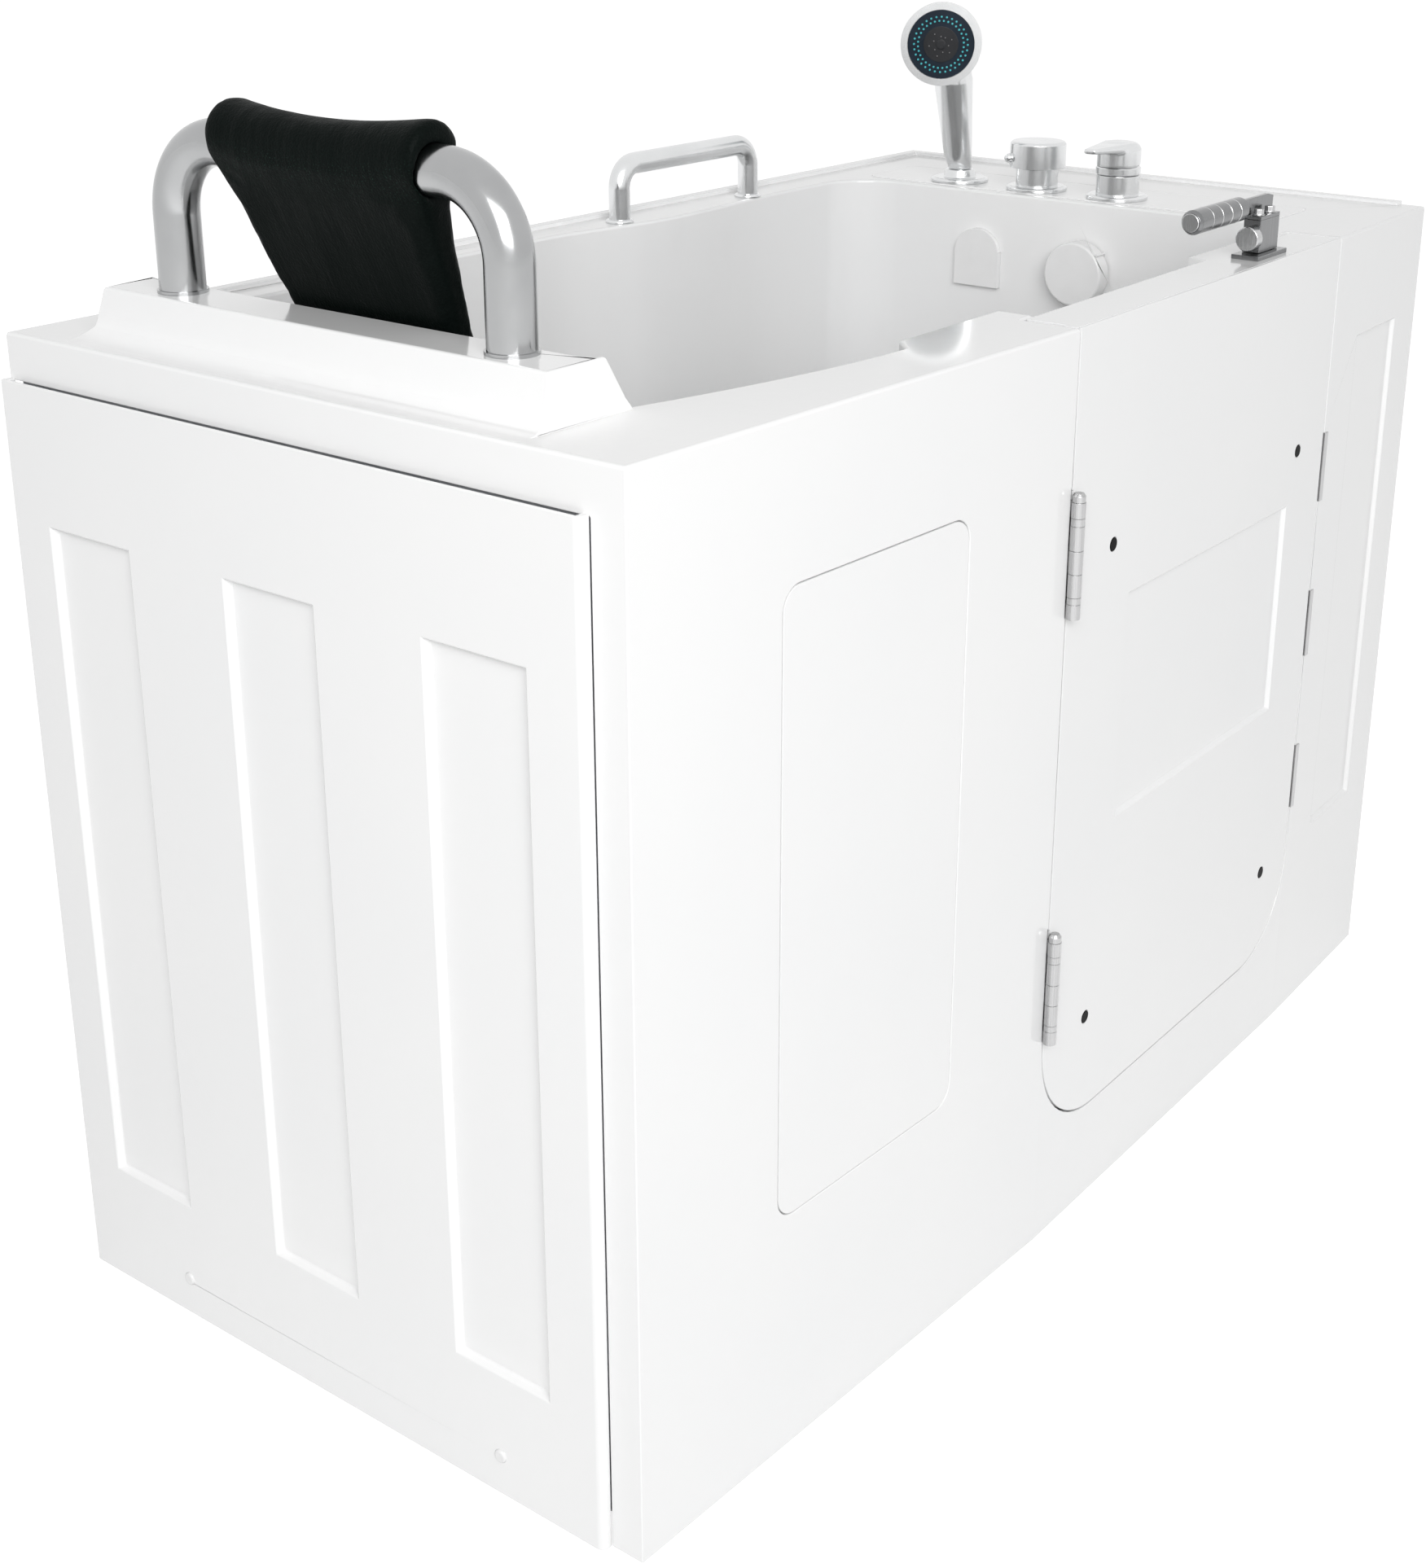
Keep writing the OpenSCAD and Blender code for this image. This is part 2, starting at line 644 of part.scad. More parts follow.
pan_wall = 4;
pan_y0 = skin_t;
module door_pan() color("white") {
    difference() {
        union() {
            on_door() along_y(pan_y0, 20) door_outline(0);
            on_door() along_y(20 - e, door_t) door_outline(inner_inset);
            on_door() translate([lock_pad_x0, door_t - e, rim_h - 52]) along_x(0, lock_pad_x1 - lock_pad_x0)
                polygon([[0, 0], [0, 52], [lock_pad_y - door_t, 52], [lock_pad_y - door_t, 30]]);
        }
        // hollow of the door, open towards the skin
        on_door() along_y(pan_y0 - 1, door_t - pan_wall) intersection() {
            door_outline(inner_inset + pan_wall);
            translate([-10, 0]) square([door_len + 20, rim_h - 8]);
        }
        on_door() translate([lock_pad_x0 + 4, door_t - pan_wall - e, rim_h - 44]) along_x(0, lock_pad_x1 - lock_pad_x0 - 8)
            polygon([[0, 6], [0, 36], [lock_pad_y - door_t, 36], [lock_pad_y - door_t, 24]]);
        hinge_cuts();
        lock_axis() translate([0, 0, rim_h - 20]) cylinder(d = shaft_d + 2 * clear, h = 40);
        // openings for the latch tongues
        for (z = keeper_z) on_door() translate([door_len - 30, tongue_y - 1, z - 13]) cube([60, tongue_t + 2, 26]);
    }
    // posts that take the cap screws
    cap_sites() translate([0, 0, skin_t + 2]) difference() {
        cylinder(d = cap_d + 6, h = door_t - pan_wall - skin_t - 2 + e);
        translate([0, 0, -1]) cylinder(d = cap_d - 1, h = 8);
    }
}
module door_screw_caps() color("black") cap_sites() {
    translate([0, 0, 1]) cylinder(d = cap_d - 0.6, h = skin_t + 1);
    cylinder(d = cap_d - 1.6, h = 8.9);
}

// ---- lock --------------------------------------------------------------

lock_y = 29;
lock_x = door_len - shaft_back;
module lock_axis() on_door() translate([lock_x, lock_y, 0]) children();
plate_z = rim_h + plate_t;
hub_z = plate_z + clear;
// Places of the plate, the hub and the round cap around the shaft
plate_end = 28;
hub_end = 20;
hub_front = -8;
hub_back = hub_front + hub_w;
disc_y = hub_front + hub_w / 2;
disc_z = hub_z + 16;
bolt_x = [hub_end - hub_l + 8, hub_end - 12];
bolt_y = -1;
latch_travel = 14;
crank_r = latch_travel / 2 / sin(45);
pin_d = 6;
shaft_in = 20;
bar_w = 24;
bar_t = 4;
tongue_y = 26;
tongue_t = 8;
bar_x = door_len - 52;

module lock_plate() color("silver") lock_axis() difference() {
    translate([plate_end - plate_l, -plate_w / 2, rim_h]) cube([plate_l, plate_w, plate_t]);
    translate([0, 0, rim_h - 1]) cylinder(d = shaft_d + 2 * clear, h = 40);
}
module lock_hub() color("silver") lock_axis() {
    difference() {
        translate([hub_end - hub_l, hub_front, hub_z]) cube([hub_l, hub_w, hub_h]);
        translate([0, 0, hub_z - 1]) cylinder(d = shaft_d + 0.02, h = shaft_in + 1.5);
        for (x = bolt_x) translate([x, bolt_y, hub_z + hub_h - 14]) cylinder(d = 6, h = 40);
        translate([hub_end - hub_l - 1, disc_y, disc_z]) rotate([0, 90, 0]) cylinder(d = 8, h = 17);
    }
}
module lock_cap() color("silver") lock_axis() translate([hub_end - hub_l, disc_y, disc_z]) rotate([0, -90, 0]) {
    cylinder(d = 27, h = 11);
    translate([0, 0, 11]) cylinder(d1 = 27, d2 = 25, h = 1);
    translate([0, 0, -14]) cylinder(d = 7.9, h = 15);
}
arm_t = 5;
arm_z = hub_z + hub_h;
grip_x = hub_end - hub_l - 18;
grip_y = hub_back - arm_t / 2;
grip_z = arm_z + 13.5;
module lock_arm() color("silver") lock_axis() {
    difference() {
        translate([hub_end - hub_l, hub_front, arm_z]) cube([hub_l, hub_w, arm_t - 1]);
        for (x = bolt_x) translate([x, bolt_y, arm_z - 1]) cylinder(d = 6.2, h = 12);
    }
    translate([0, 0, arm_z]) along_y(hub_back - arm_t, hub_back) polygon([[hub_end - hub_l, 0], [hub_end + 12, 0],
        [hub_end + 13.5, 19], [hub_end, 22], [grip_x + 8, 22], [grip_x, 19], [grip_x, 5]]);
}
module lock_bolts() color("silver") lock_axis() for (x = bolt_x) translate([x, bolt_y, 0]) {
    translate([0, 0, arm_z + arm_t - 1]) cylinder(d = 13, h = 1.5);
    translate([0, 0, arm_z + arm_t + 0.5]) cylinder(d = 11.5, h = 5.5, $fn = 6);
    translate([0, 0, hub_z + hub_h - 13]) cylinder(d = 5.9, h = 20);
}
module lock_grip() color("gainsboro") lock_axis() translate([grip_x, grip_y, grip_z]) rotate([0, -90, 0]) {
    difference() {
        union() {
            cylinder(d1 = grip_d - 8, d2 = grip_d, h = 4);
            translate([0, 0, 4]) cylinder(d = grip_d, h = grip_l - 8);
            translate([0, 0, grip_l - 4]) cylinder(d1 = grip_d, d2 = grip_d - 5, h = 4);
        }
        for (i = [1 : 4]) translate([0, 0, i * grip_l / 5.4]) difference() {
            cylinder(d = grip_d + 2, h = 1.6);
            cylinder(d = grip_d - 2, h = 1.6);
        }
    }
}
// Shaft with an eccentric pin: it drives the latch bar as a yoke
shaft_low = rim_h - 96;
module latch_shaft() color("silver") lock_axis() {
    translate([0, 0, shaft_low + 12]) cylinder(d = shaft_d, h = hub_z + shaft_in - shaft_low - 12);
    translate([0, 0, shaft_low + 6]) cylinder(r = crank_r + pin_d / 2 + 2, h = 6);
    rotate([0, 0, 45]) translate([0, crank_r, shaft_low - 6]) cylinder(d = pin_d, h = 13);
}
// Sliding bar with three tongues and a slotted arm under the shaft
latch_play = 0.6;
module latch_bar() color("silver") on_door() {
    translate([bar_x, tongue_y, keeper_z[0] - 30]) cube([bar_w, bar_t, shaft_low + 30 - keeper_z[0]]);
    for (z = keeper_z) translate([bar_x + 2, tongue_y, z - 12]) cube([door_len - 4 - bar_x - 2, tongue_t, 24]);
    difference() {
        translate([lock_x - 40, lock_y - 22, shaft_low - 5]) cube([bar_x - lock_x + 40 + 4, 44, 4]);
        translate([lock_x - crank_r * sin(45) - pin_d / 2 - latch_play, lock_y, shaft_low - 10])
            cube([pin_d + 2 * latch_play, crank_r + 8, 20]);
    }
}
// Guides fixed to the door pan carry the bar
module latch_guides() color("gainsboro") for (z = [keeper_z[0] + 60, keeper_z[1] + 60, keeper_z[2] + 60]) on_door() difference() {
    translate([bar_x - 6, tongue_y - 8, z]) cube([bar_w + latch_travel + 11, door_t - pan_wall - tongue_y + 8, 20]);
    translate([bar_x - 1, tongue_y - clear, z - 1]) cube([bar_w + latch_travel + 2, bar_t + 2 * clear, 22]);
}
module keeper_sites() for (z = keeper_z) on_door() translate([door_len + seam / 2, 0, z - keeper_h / 2]) children();
keeper_t = 1.6;
keeper_depth = tongue_y + tongue_t + 12;
module latch_keepers() color("silver") keeper_sites() difference() {
    union() {
        translate([0, -1.5, 0]) cube([9, 1.5, keeper_h]);
        translate([0, -1.5, 0]) cube([keeper_t, 1.5 + keeper_depth, keeper_h]);
    }
    translate([-5, tongue_y - 1, keeper_h / 2 - 13]) cube([20, tongue_t + 2, 26]);
}

// ---- end panel and frame -----------------------------------------------

panel_edge_r = 8;
screw_y = [185, 623];
screw_z = 48;
module head_end_panel() color("white") {
    h = panel_top - skirt_gap;
    at_tub() difference() {
        union() {
            translate([-panel_t, 0, skirt_gap]) linear_extrude(h) intersection() {
                translate([0, return_w]) square([panel_t, tub_w - return_w]);
                union() {
                    translate([panel_edge_r, return_w]) square([panel_t, tub_w]);
                    translate([0, return_w + panel_edge_r]) square([panel_t, tub_w]);
                    translate([panel_edge_r, return_w + panel_edge_r]) circle(panel_edge_r);
                }
            }
        }
        // hollow behind the face, open at the top
        translate([-panel_t + 4, return_w + 8, skirt_gap + 6])
            cube([panel_t, tub_w - return_w - 16, h]);
        for (i = [-1 : 1]) recess_site(i) pocket(recess_w, recess_z1 - recess_z0, recess_d, recess_bevel);
        for (y = screw_y) translate([-panel_t - 1, y, screw_z]) rotate([0, 90, 0]) cylinder(d = 6, h = 20);
    }
    // raised backs of the recesses and the seats of the screws
    at_tub() for (i = [-1 : 1]) recess_site(i) difference() {
        translate([-2, 4 - e, -2]) cube([recess_w + 4, recess_d - 1.5, recess_z1 - recess_z0 + 4]);
        pocket(recess_w, recess_z1 - recess_z0, recess_d, recess_bevel);
    }
    at_tub() for (y = screw_y) translate([-panel_t + 4 - e, y, screw_z]) rotate([0, 90, 0]) difference() {
        cylinder(d = 18, h = panel_t - 4 + lip_t + e);
        translate([0, 0, -1]) cylinder(d = 6, h = 30);
    }
}
recess_mid = (tub_w + return_w) / 2 + 4;
module recess_site(i) translate([-panel_t, recess_mid - i * recess_pitch + recess_w / 2, recess_z0])
    rotate([0, 0, -90]) children();
module end_panel_screws() color("white") at_tub() for (y = screw_y) translate([-panel_t, y, screw_z]) rotate([0, 90, 0]) {
    translate([0, 0, -screw_head]) cylinder(d1 = 11, d2 = 14, h = 1.5);
    translate([0, 0, -1]) cylinder(d = 14, h = 1);
    translate([0, 0, -1]) cylinder(d = 5.8, h = panel_t + lip_t + tube_wall + 8);
}

frame_top = frame_z + tube_s;
rail_front_y = 40;
rail_back_y = tub_w - 45 - tube_s;
post_back_y = tub_w - 10 - tube_s;
post_front_y = return_w + 4;
rail_foot_x = tub_l - 20 - tube_s;
rail_mid_x = (seat_front + post_x) / 2 + 10;
module tube_x(x0, x1, y, z) translate([x0, y, z]) difference() {
    cube([x1 - x0, tube_s, tube_s]);
    translate([-1, tube_wall, tube_wall]) cube([x1 - x0 + 2, tube_s - 2 * tube_wall, tube_s - 2 * tube_wall]);
}
module tube_y(y0, y1, x, z) translate([x, y0, z]) difference() {
    cube([tube_s, y1 - y0, tube_s]);
    translate([tube_wall, -1, tube_wall]) cube([tube_s - 2 * tube_wall, y1 - y0 + 2, tube_s - 2 * tube_wall]);
}
module tube_z(z0, z1, x, y) translate([x, y, z0]) difference() {
    cube([tube_s, tube_s, z1 - z0]);
    translate([tube_wall, tube_wall, -1]) cube([tube_s - 2 * tube_wall, tube_s - 2 * tube_wall, z1 - z0 + 2]);
}
foot_sites = [for (x = [lip_t + tube_s + 45, rail_mid_x + tube_s + 45, rail_foot_x - 45],
    y = [rail_front_y + tube_s / 2, rail_back_y + tube_s / 2]) [x, y]];
module feet_holes() for (p = foot_sites) translate([p[0], p[1], frame_z - 1]) cylinder(d = stud_d + 0.2, h = tube_s + 2);
module rail_front() color("slategray") at_tub() difference() {
    tube_x(lip_t + tube_s, rail_foot_x, rail_front_y, frame_z);
    feet_holes();
}
module rail_back() color("slategray") at_tub() difference() {
    tube_x(lip_t + tube_s, rail_foot_x, rail_back_y, frame_z);
    feet_holes();
}
// The low head rail carries the posts, the high one stiffens the lip of the deck between them
module rail_head() color("slategray") at_tub() difference() {
    union() {
        tube_y(rail_front_y, post_back_y + tube_s, lip_t, frame_z);
        tube_y(post_front_y + tube_s, post_back_y, lip_t, rim_h - lip_d - tube_s + 4);
    }
    for (y = screw_y) translate([lip_t - 1, y, screw_z]) rotate([0, 90, 0]) cylinder(d = 6, h = tube_wall + 2);
}
module rail_mid() color("slategray") at_tub() tube_y(rail_front_y + tube_s, rail_back_y, rail_mid_x, frame_z);
module rail_foot() color("slategray") at_tub() tube_y(rail_front_y, post_back_y + tube_s, rail_foot_x, frame_z);
module post_head_front() color("slategray") at_tub() tube_z(frame_top, under_deck, lip_t, post_front_y);
module post_head_back() color("slategray") at_tub() tube_z(frame_top, under_deck, lip_t, post_back_y);
module post_foot_front() color("slategray") at_tub() tube_z(frame_top, under_deck, rail_foot_x, rail_front_y);
module post_foot_back() color("slategray") at_tub() tube_z(frame_top, under_deck, rail_foot_x, post_back_y);
bearer_w = 40;
bearer_x0 = seat_front + 60;
bearer_x1 = basin_x1 - drain_in - 80;
module floor_bearers() color("burlywood") at_tub()
    for (x = [bearer_x0 : (bearer_x1 - bearer_x0) / 2 : bearer_x1])
        translate([x, rail_front_y, frame_top]) cube([bearer_w, rail_back_y + tube_s - rail_front_y, floor_h - shell_t - frame_top]);
module seat_support() color("burlywood") at_tub() {
    top = seat_h - shell_t;
    x = back_foot + seat_fillet + 40;
    for (y = [rail_front_y, rail_back_y]) translate([x, y, frame_top]) cube([38, tube_s, top - frame_top - 38]);
    translate([x, rail_front_y, top - 38]) cube([38, rail_back_y + tube_s - rail_front_y, 38]);
}
module foot_pads() color("dimgray") at_tub() for (p = foot_sites) translate([p[0], p[1], 0]) difference() {
    union() {
        cylinder(d = foot_d, h = 4);
        translate([0, 0, 4]) cylinder(d1 = foot_d, d2 = 26, h = foot_h - 4);
    }
    translate([0, 0, foot_h - 4]) cylinder(d = stud_d + 0.1, h = 10);
}
module foot_studs() color("silver") at_tub() for (p = foot_sites)
    translate([p[0], p[1], foot_h - 4]) cylinder(d = stud_d, h = frame_top - foot_h + 4 - tube_wall - 4);
module foot_locknuts() color("silver") at_tub() for (p = foot_sites) translate([p[0], p[1], frame_z - 9]) difference() {
    cylinder(d = 22, h = 9, $fn = 6);
    translate([0, 0, -1]) cylinder(d = stud_d + 0.1, h = 12);
}

// ---- headrest and grab bar ---------------------------------------------

plateau_top = rim_h + plateau_h;
rest_cz = plateau_top + rest_h - rest_d / 2;
module bow(d, span, bend, rise) {
    // U-shaped bar in the YZ plane, legs at y = 0 and y = span
    cylinder(d = d, h = rise - bend);
    translate([0, span, 0]) cylinder(d = d, h = rise - bend);
    for (s = [0, 1]) translate([0, s * span, rise - bend]) mirror([0, s, 0]) translate([0, bend, 0])
        rotate([90, 0, -90]) rotate_extrude(angle = 90) translate([bend, 0]) circle(d = d);
    translate([0, bend, rise]) rotate([-90, 0, 0]) cylinder(d = d, h = span - 2 * bend);
}
module headrest_bar() color("silver") at_tub() translate([rest_x, rest_y, plateau_top]) {
    bow(rest_d, rest_span, rest_bend, rest_h - rest_d / 2);
    for (y = [0, rest_span]) translate([0, y, 0]) {
        cylinder(d = rest_d + 4, h = 3);
        translate([0, 0, -plateau_h + 4]) cylinder(d = 12, h = plateau_h);
    }
}
module headrest_nuts() color("silver") at_tub() for (y = [rest_y, rest_y + rest_span])
    translate([rest_x, y, plateau_top - deck_t + 2 - 10]) difference() {
        cylinder(d = 26, h = 10, $fn = 6);
        translate([0, 0, -1]) cylinder(d = 12.2, h = 12);
    }
module grab_bar() color("silver") at_tub() translate([grab_x, tub_w - grab_back, rim_h + 4]) {
    rotate([0, 0, -90]) bow(grab_d, grab_span, grab_bend, grab_h - 4 - grab_d / 2);
    for (x = [0, grab_span]) translate([x, 0, -22]) cylinder(d = grab_stud_d, h = 24);
}
module grab_bar_flanges() color("silver") at_tub() for (x = [grab_x, grab_x + grab_span])
    translate([x, tub_w - grab_back, rim_h]) difference() {
        union() {
            cylinder(d = grab_d + 8, h = 2);
            translate([0, 0, 2]) cylinder(d1 = grab_d + 8, d2 = grab_d + 4, h = 2);
        }
        translate([0, 0, -1]) cylinder(d = grab_stud_d + 0.2, h = 8);
    }

pad_gap = 0.4;
pad_back = rest_d / 2 + 6;
// The pad leans on the inner edge of the raised deck
edge_dx = back_x(plateau_top) - rest_x;
edge_dz = rest_cz - plateau_top;
pad_lean = acos(-(pad_back + pad_gap) / norm([edge_dx, edge_dz])) - atan2(edge_dz, edge_dx);
// Width, thickness and rolled top of the pad; u runs from -1 to 1 across it, t from 0 at the bar to 1 below
pad_wall = 3.5;
function pad_half(z) = pad_w_top / 2 + z * (pad_w_top - pad_w_low) / 2 / pad_drop;
function pad_edge(u) = let (a = max(0, abs(u) - 0.9) / 0.1) 0.3 + 0.7 * sqrt(max(0, 1 - a * a));
function pad_roll(u) = pad_back + pad_lobe * u * u;
function pad_low(u) = pad_drop - pad_corner * pow(abs(u), 8);
function pad_thick(t, u) = pad_thin + (pad_full - pad_thin) * pow(1 - t, 2.6) * (1 - 0.15 * u * u);
pad_levels = [[1, 0.35], [0.985, 0.75], [0.95, 1], [0.8, 1], [0.6, 1], [0.4, 1], [0.22, 1]];
function pad_point(x, z, u) = [x, u * pad_half(z), z];
// One side of the section: the flat panel, then the roll over the bar; side is -1 behind and 1 in front
function pad_side(u, side) = let (g = pad_edge(u), r0 = pad_roll(u), r = (rest_d / 2 + pad_wall) * (1 - g) + r0 * g)
    concat([for (l = pad_levels) let (h = pad_thick(l[0], u) / 2)
            pad_point(-pad_back + h + side * h * l[1] * g, -pad_low(u) * l[0], u)],
        [for (a = [0 : 17 : 85]) pad_point((r0 - pad_back) * g + side * r * cos(a), 6 * g + r * sin(a), u)]);
function reversed(list) = [for (i = [len(list) - 1 : -1 : 0]) list[i]];
pad_steps = 10;
module pad_form() {
    loops = [for (i = [-pad_steps : pad_steps]) let (u = sin(90 * i / pad_steps))
        concat(pad_side(u, -1), reversed(pad_side(u, 1)))];
    n = len(loops[0]);
    last = n * (len(loops) - 1);
    polyhedron(points = [for (l = loops) each l], faces = concat(
        [for (i = [0 : len(loops) - 2], k = [0 : n - 1]) let (a = i * n + k, b = i * n + (k + 1) % n)
            each [[a, b + n, b], [a, a + n, b + n]]],
        [for (k = [0 : n / 2 - 2]) each [[k, k + 1, n - 1 - k], [k + 1, n - 2 - k, n - 1 - k]]],
        [for (k = [0 : n / 2 - 2]) each [[last + k, last + n - 1 - k, last + k + 1],
            [last + k + 1, last + n - 1 - k, last + n - 2 - k]]]));
}
module headrest_pad() color("black") at_tub() translate([rest_x, rest_y + rest_span / 2, rest_cz]) difference() {
    rotate([0, -pad_lean, 0]) pad_form();
    rotate([90, 0, 0]) translate([0, 0, -pad_w_top]) cylinder(r = rest_d / 2 + pad_gap, h = 2 * pad_w_top);
}

// ---- deck fittings -----------------------------------------------------

module fit_place(i) at_tub() translate([fit_x, fit_y(i), fit_z]) children();
module flange_ring(d, bore) difference() {
    union() {
        cylinder(d = d, h = 4);
        translate([0, 0, 4]) cylinder(d1 = d, d2 = d - 8, h = 2);
    }
    translate([0, 0, -1]) cylinder(d = bore, h = 10);
}
tail_d = 30;
tail_l = 45;
shower_face_turn = 28;
module valve_nuts() color("gold") for (i = [0 : 2]) fit_place(i) translate([0, 0, -deck_t - pad_rise - 8]) difference() {
    cylinder(d = 48, h = 8, $fn = 6);
    translate([0, 0, -1]) cylinder(d = tail_d + 0.1, h = 10);
}
module shower_holder() color("silver") fit_place(2) {
    flange_ring(flange_d, 10);
    difference() {
        union() {
            translate([0, 0, 4]) cylinder(d1 = 44, d2 = 38, h = 12);
            translate([0, 0, -tail_l]) cylinder(d = tail_d, h = tail_l + 5);
        }
        translate([0, 0, 6]) cylinder(d1 = 20, d2 = 27, h = 14);
        translate([0, 0, -tail_l - 1]) cylinder(d = 20, h = tail_l + 20);
    }
}
handle_low = 7;
handle_lean = 10;
handle_d0 = 30;
handle_d1 = 37;
handle_d2 = 50;
handle_l1 = 38;
handle_l2 = 132;
head_z = 180;
head_out = 54;
face_z = 9;
// The head's own axis leaves the middle of its spray face
module to_head() fit_place(2) translate([-head_out, 0, head_z]) rotate([0, 0, shower_face_turn])
    rotate([0, -90, 0]) children();
module to_handle(l) fit_place(2) translate([-l * sin(handle_lean), 0, l * cos(handle_lean)])
    rotate([0, -handle_lean, 0]) children();
module shower_handset() color("silver") difference() {
    union() {
        fit_place(2) translate([0, 0, handle_low]) cylinder(d1 = 19, d2 = 25, h = 10);
        hull() {
            fit_place(2) translate([0, 0, 17]) cylinder(d = handle_d0, h = 2, $fn = 32);
            to_handle(handle_l1) cylinder(d = handle_d1, h = 2, $fn = 32);
        }
        hull() {
            to_handle(handle_l1) cylinder(d = handle_d1, h = 2, $fn = 32);
            to_handle(handle_l2) cylinder(d = handle_d2, h = 2, $fn = 32);
        }
        hull() {
            to_handle(handle_l2) cylinder(d = handle_d2, h = 2, $fn = 32);
            to_head() translate([-8, 0, -20]) cylinder(d = 62, h = 14, $fn = 32);
        }
        to_head() {
            translate([0, 0, -6]) cylinder(d = head_d, h = face_z + 11);
            translate([0, 0, -16]) cylinder(d1 = head_d - 32, d2 = head_d, h = 10);
        }
    }
    to_head() translate([0, 0, face_z]) cylinder(d = head_d - 17, h = 20);
}
module shower_face() color("black") to_head() translate([0, 0, face_z]) cylinder(d = head_d - 18, h = 4);
module diverter_base() color("silver") fit_place(1) {
    flange_ring(flange_d + 3, 10);
    translate([0, 0, 4]) cylinder(d = 54, h = 24);
    translate([0, 0, -tail_l]) cylinder(d = tail_d, h = tail_l + 5);
    translate([0, 0, 27]) cylinder(d = 20, h = 12);
}
knob_low = 29;
module diverter_knob() color("silver") fit_place(1) {
    difference() {
        union() {
            translate([0, 0, knob_low]) cylinder(d = 72, h = 30);
            translate([0, 0, knob_low + 30]) cylinder(d1 = 72, d2 = 66, h = 3);
        }
        translate([0, 0, knob_low - 1]) cylinder(d = 20 + 2 * clear, h = 12);
    }
    rotate([0, 0, 140]) translate([34, 0, knob_low + 12]) rotate([0, 90, 0]) {
        cylinder(d = 12, h = 5);
        translate([0, 0, 5]) sphere(d = 12, $fn = 32);
    }
}
// The body under the deck is square, so the tails leave it at a flat side
body_s = 44;
body_h = 34;
body_x = -16;
inlet_d = 14;
inlet_l = 30;
inlet_y = 14;
inlet_drop = 24;
module mixer_base() color("silver") fit_place(0) {
    flange_ring(flange_d + 2, 10);
    translate([0, 0, 4]) cylinder(d = 54, h = 26);
    translate([0, 0, 30]) cylinder(d = 24, h = 4);
    translate([0, 0, -tail_l]) cylinder(d = tail_d, h = tail_l + 5);
    translate([body_x, -body_s / 2, -tail_l - body_h]) cube([body_s, body_s, body_h]);
    for (y = [-inlet_y, inlet_y]) translate([body_x + body_s - 1, y, -tail_l - inlet_drop]) rotate([0, 90, 0])
        cylinder(d = inlet_d, h = 1 + inlet_l);
}
tilt_z = 44;
module mixer_cartridge() color("silver") fit_place(0) {
    difference() {
        translate([0, 0, 31]) cylinder(d = 50, h = 8);
        translate([0, 0, 30]) cylinder(d = 24 + 2 * clear, h = 4.5);
    }
    translate([-7, -10, 38]) cube([14, 20, 6]);
    translate([0, 10, tilt_z]) rotate([90, 0, 0]) cylinder(d = 14, h = 20);
    translate([0, 24, tilt_z]) rotate([90, 0, 0]) cylinder(d = 5, h = 48);
}
cap_r = 28;
tip_r = 8;
tip_x = -70;
tip_turn = asin((cap_r - tip_r) / -tip_x);
// Plan of the lever: a round cap that narrows to a rounded tip
module lever_plan() {
    circle(r = cap_r);
    translate([tip_x, 0]) circle(r = tip_r);
    polygon([for (s = [1, -1], x = s > 0 ? [0, tip_x] : [tip_x, 0]) let (r = x == 0 ? cap_r : tip_r)
        [x - r * sin(tip_turn), s * r * cos(tip_turn)]]);
}
module mixer_lever() color("silver") fit_place(0) difference() {
    intersection() {
        translate([0, 0, 40]) linear_extrude(40) lever_plan();
        along_y(-30, 30) polygon([[-30, 40.5], [2, 40.5], [30, 49], [30, 57], [26, 62], [18, 66], [4, 69.5], [-30, 72],
            [-80, 71.5], [-80, 67], [-30, 60]]);
    }
    along_y(-10.6, 10.6) polygon([[-14, 39], [14, 39], [14, 44], [9, 52], [-9, 52], [-14, 44]]);
    translate([0, 24.3, tilt_z]) rotate([90, 0, 0]) cylinder(d = 5.1, h = 48.6);
}

// ---- filler, drain control and waste ------------------------------------

module filler_spout() color("white") filler_place() {
    along_x(-8, 0) {
        translate([-filler_w / 2, 0]) square([filler_w, filler_h - filler_w / 2 + 6]);
        intersection() {
            translate([0, filler_h - filler_w / 2]) circle(d = filler_w);
            translate([-filler_w, 0]) square([2 * filler_w, filler_h]);
        }
    }
    translate([-1, 0, filler_h / 2]) rotate([0, 90, 0]) difference() {
        cylinder(d = filler_hole_d - 0.4, h = 60);
        translate([0, 0, 4]) cylinder(d = filler_hole_d - 8, h = 60);
    }
}
spindle_d = 10;
module overflow_knob() color("white") knob_place() {
    difference() {
        union() {
            translate([0, 0, 3]) cylinder(d = knob_d, h = knob_l - 5);
            translate([0, 0, knob_l - 2]) cylinder(d1 = knob_d, d2 = knob_d - 4, h = 2);
        }
        translate([0, 0, 2]) cylinder(d = knob_d - 8, h = knob_l - 8);
    }
    translate([0, 0, -26]) cylinder(d = spindle_d, h = 26 + knob_l - 4);
    rotate([0, 0, -50]) translate([knob_d / 2 - 1, -1.5, 3]) cube([5, 3, knob_l - 5]);
}
module overflow_housing() color("dimgray") knob_place() difference() {
    union() {
        translate([0, 0, -shell_t - 28]) cylinder(d = 60, h = 28);
        translate([0, 0, -shell_t - 1]) cylinder(d = knob_hole_d - 0.6, h = shell_t + 2);
        cylinder(d = 40, h = 2);
        translate([-60, 0, -shell_t - 24]) rotate([0, 90, 0]) cylinder(d = waste_d + 8, h = 32);
    }
    translate([0, 0, -shell_t - 24]) cylinder(d = spindle_d + 2 * clear, h = 60);
    translate([-61, 0, -shell_t - 24]) rotate([0, 90, 0]) cylinder(d = waste_d + 0.2, h = 32);
}
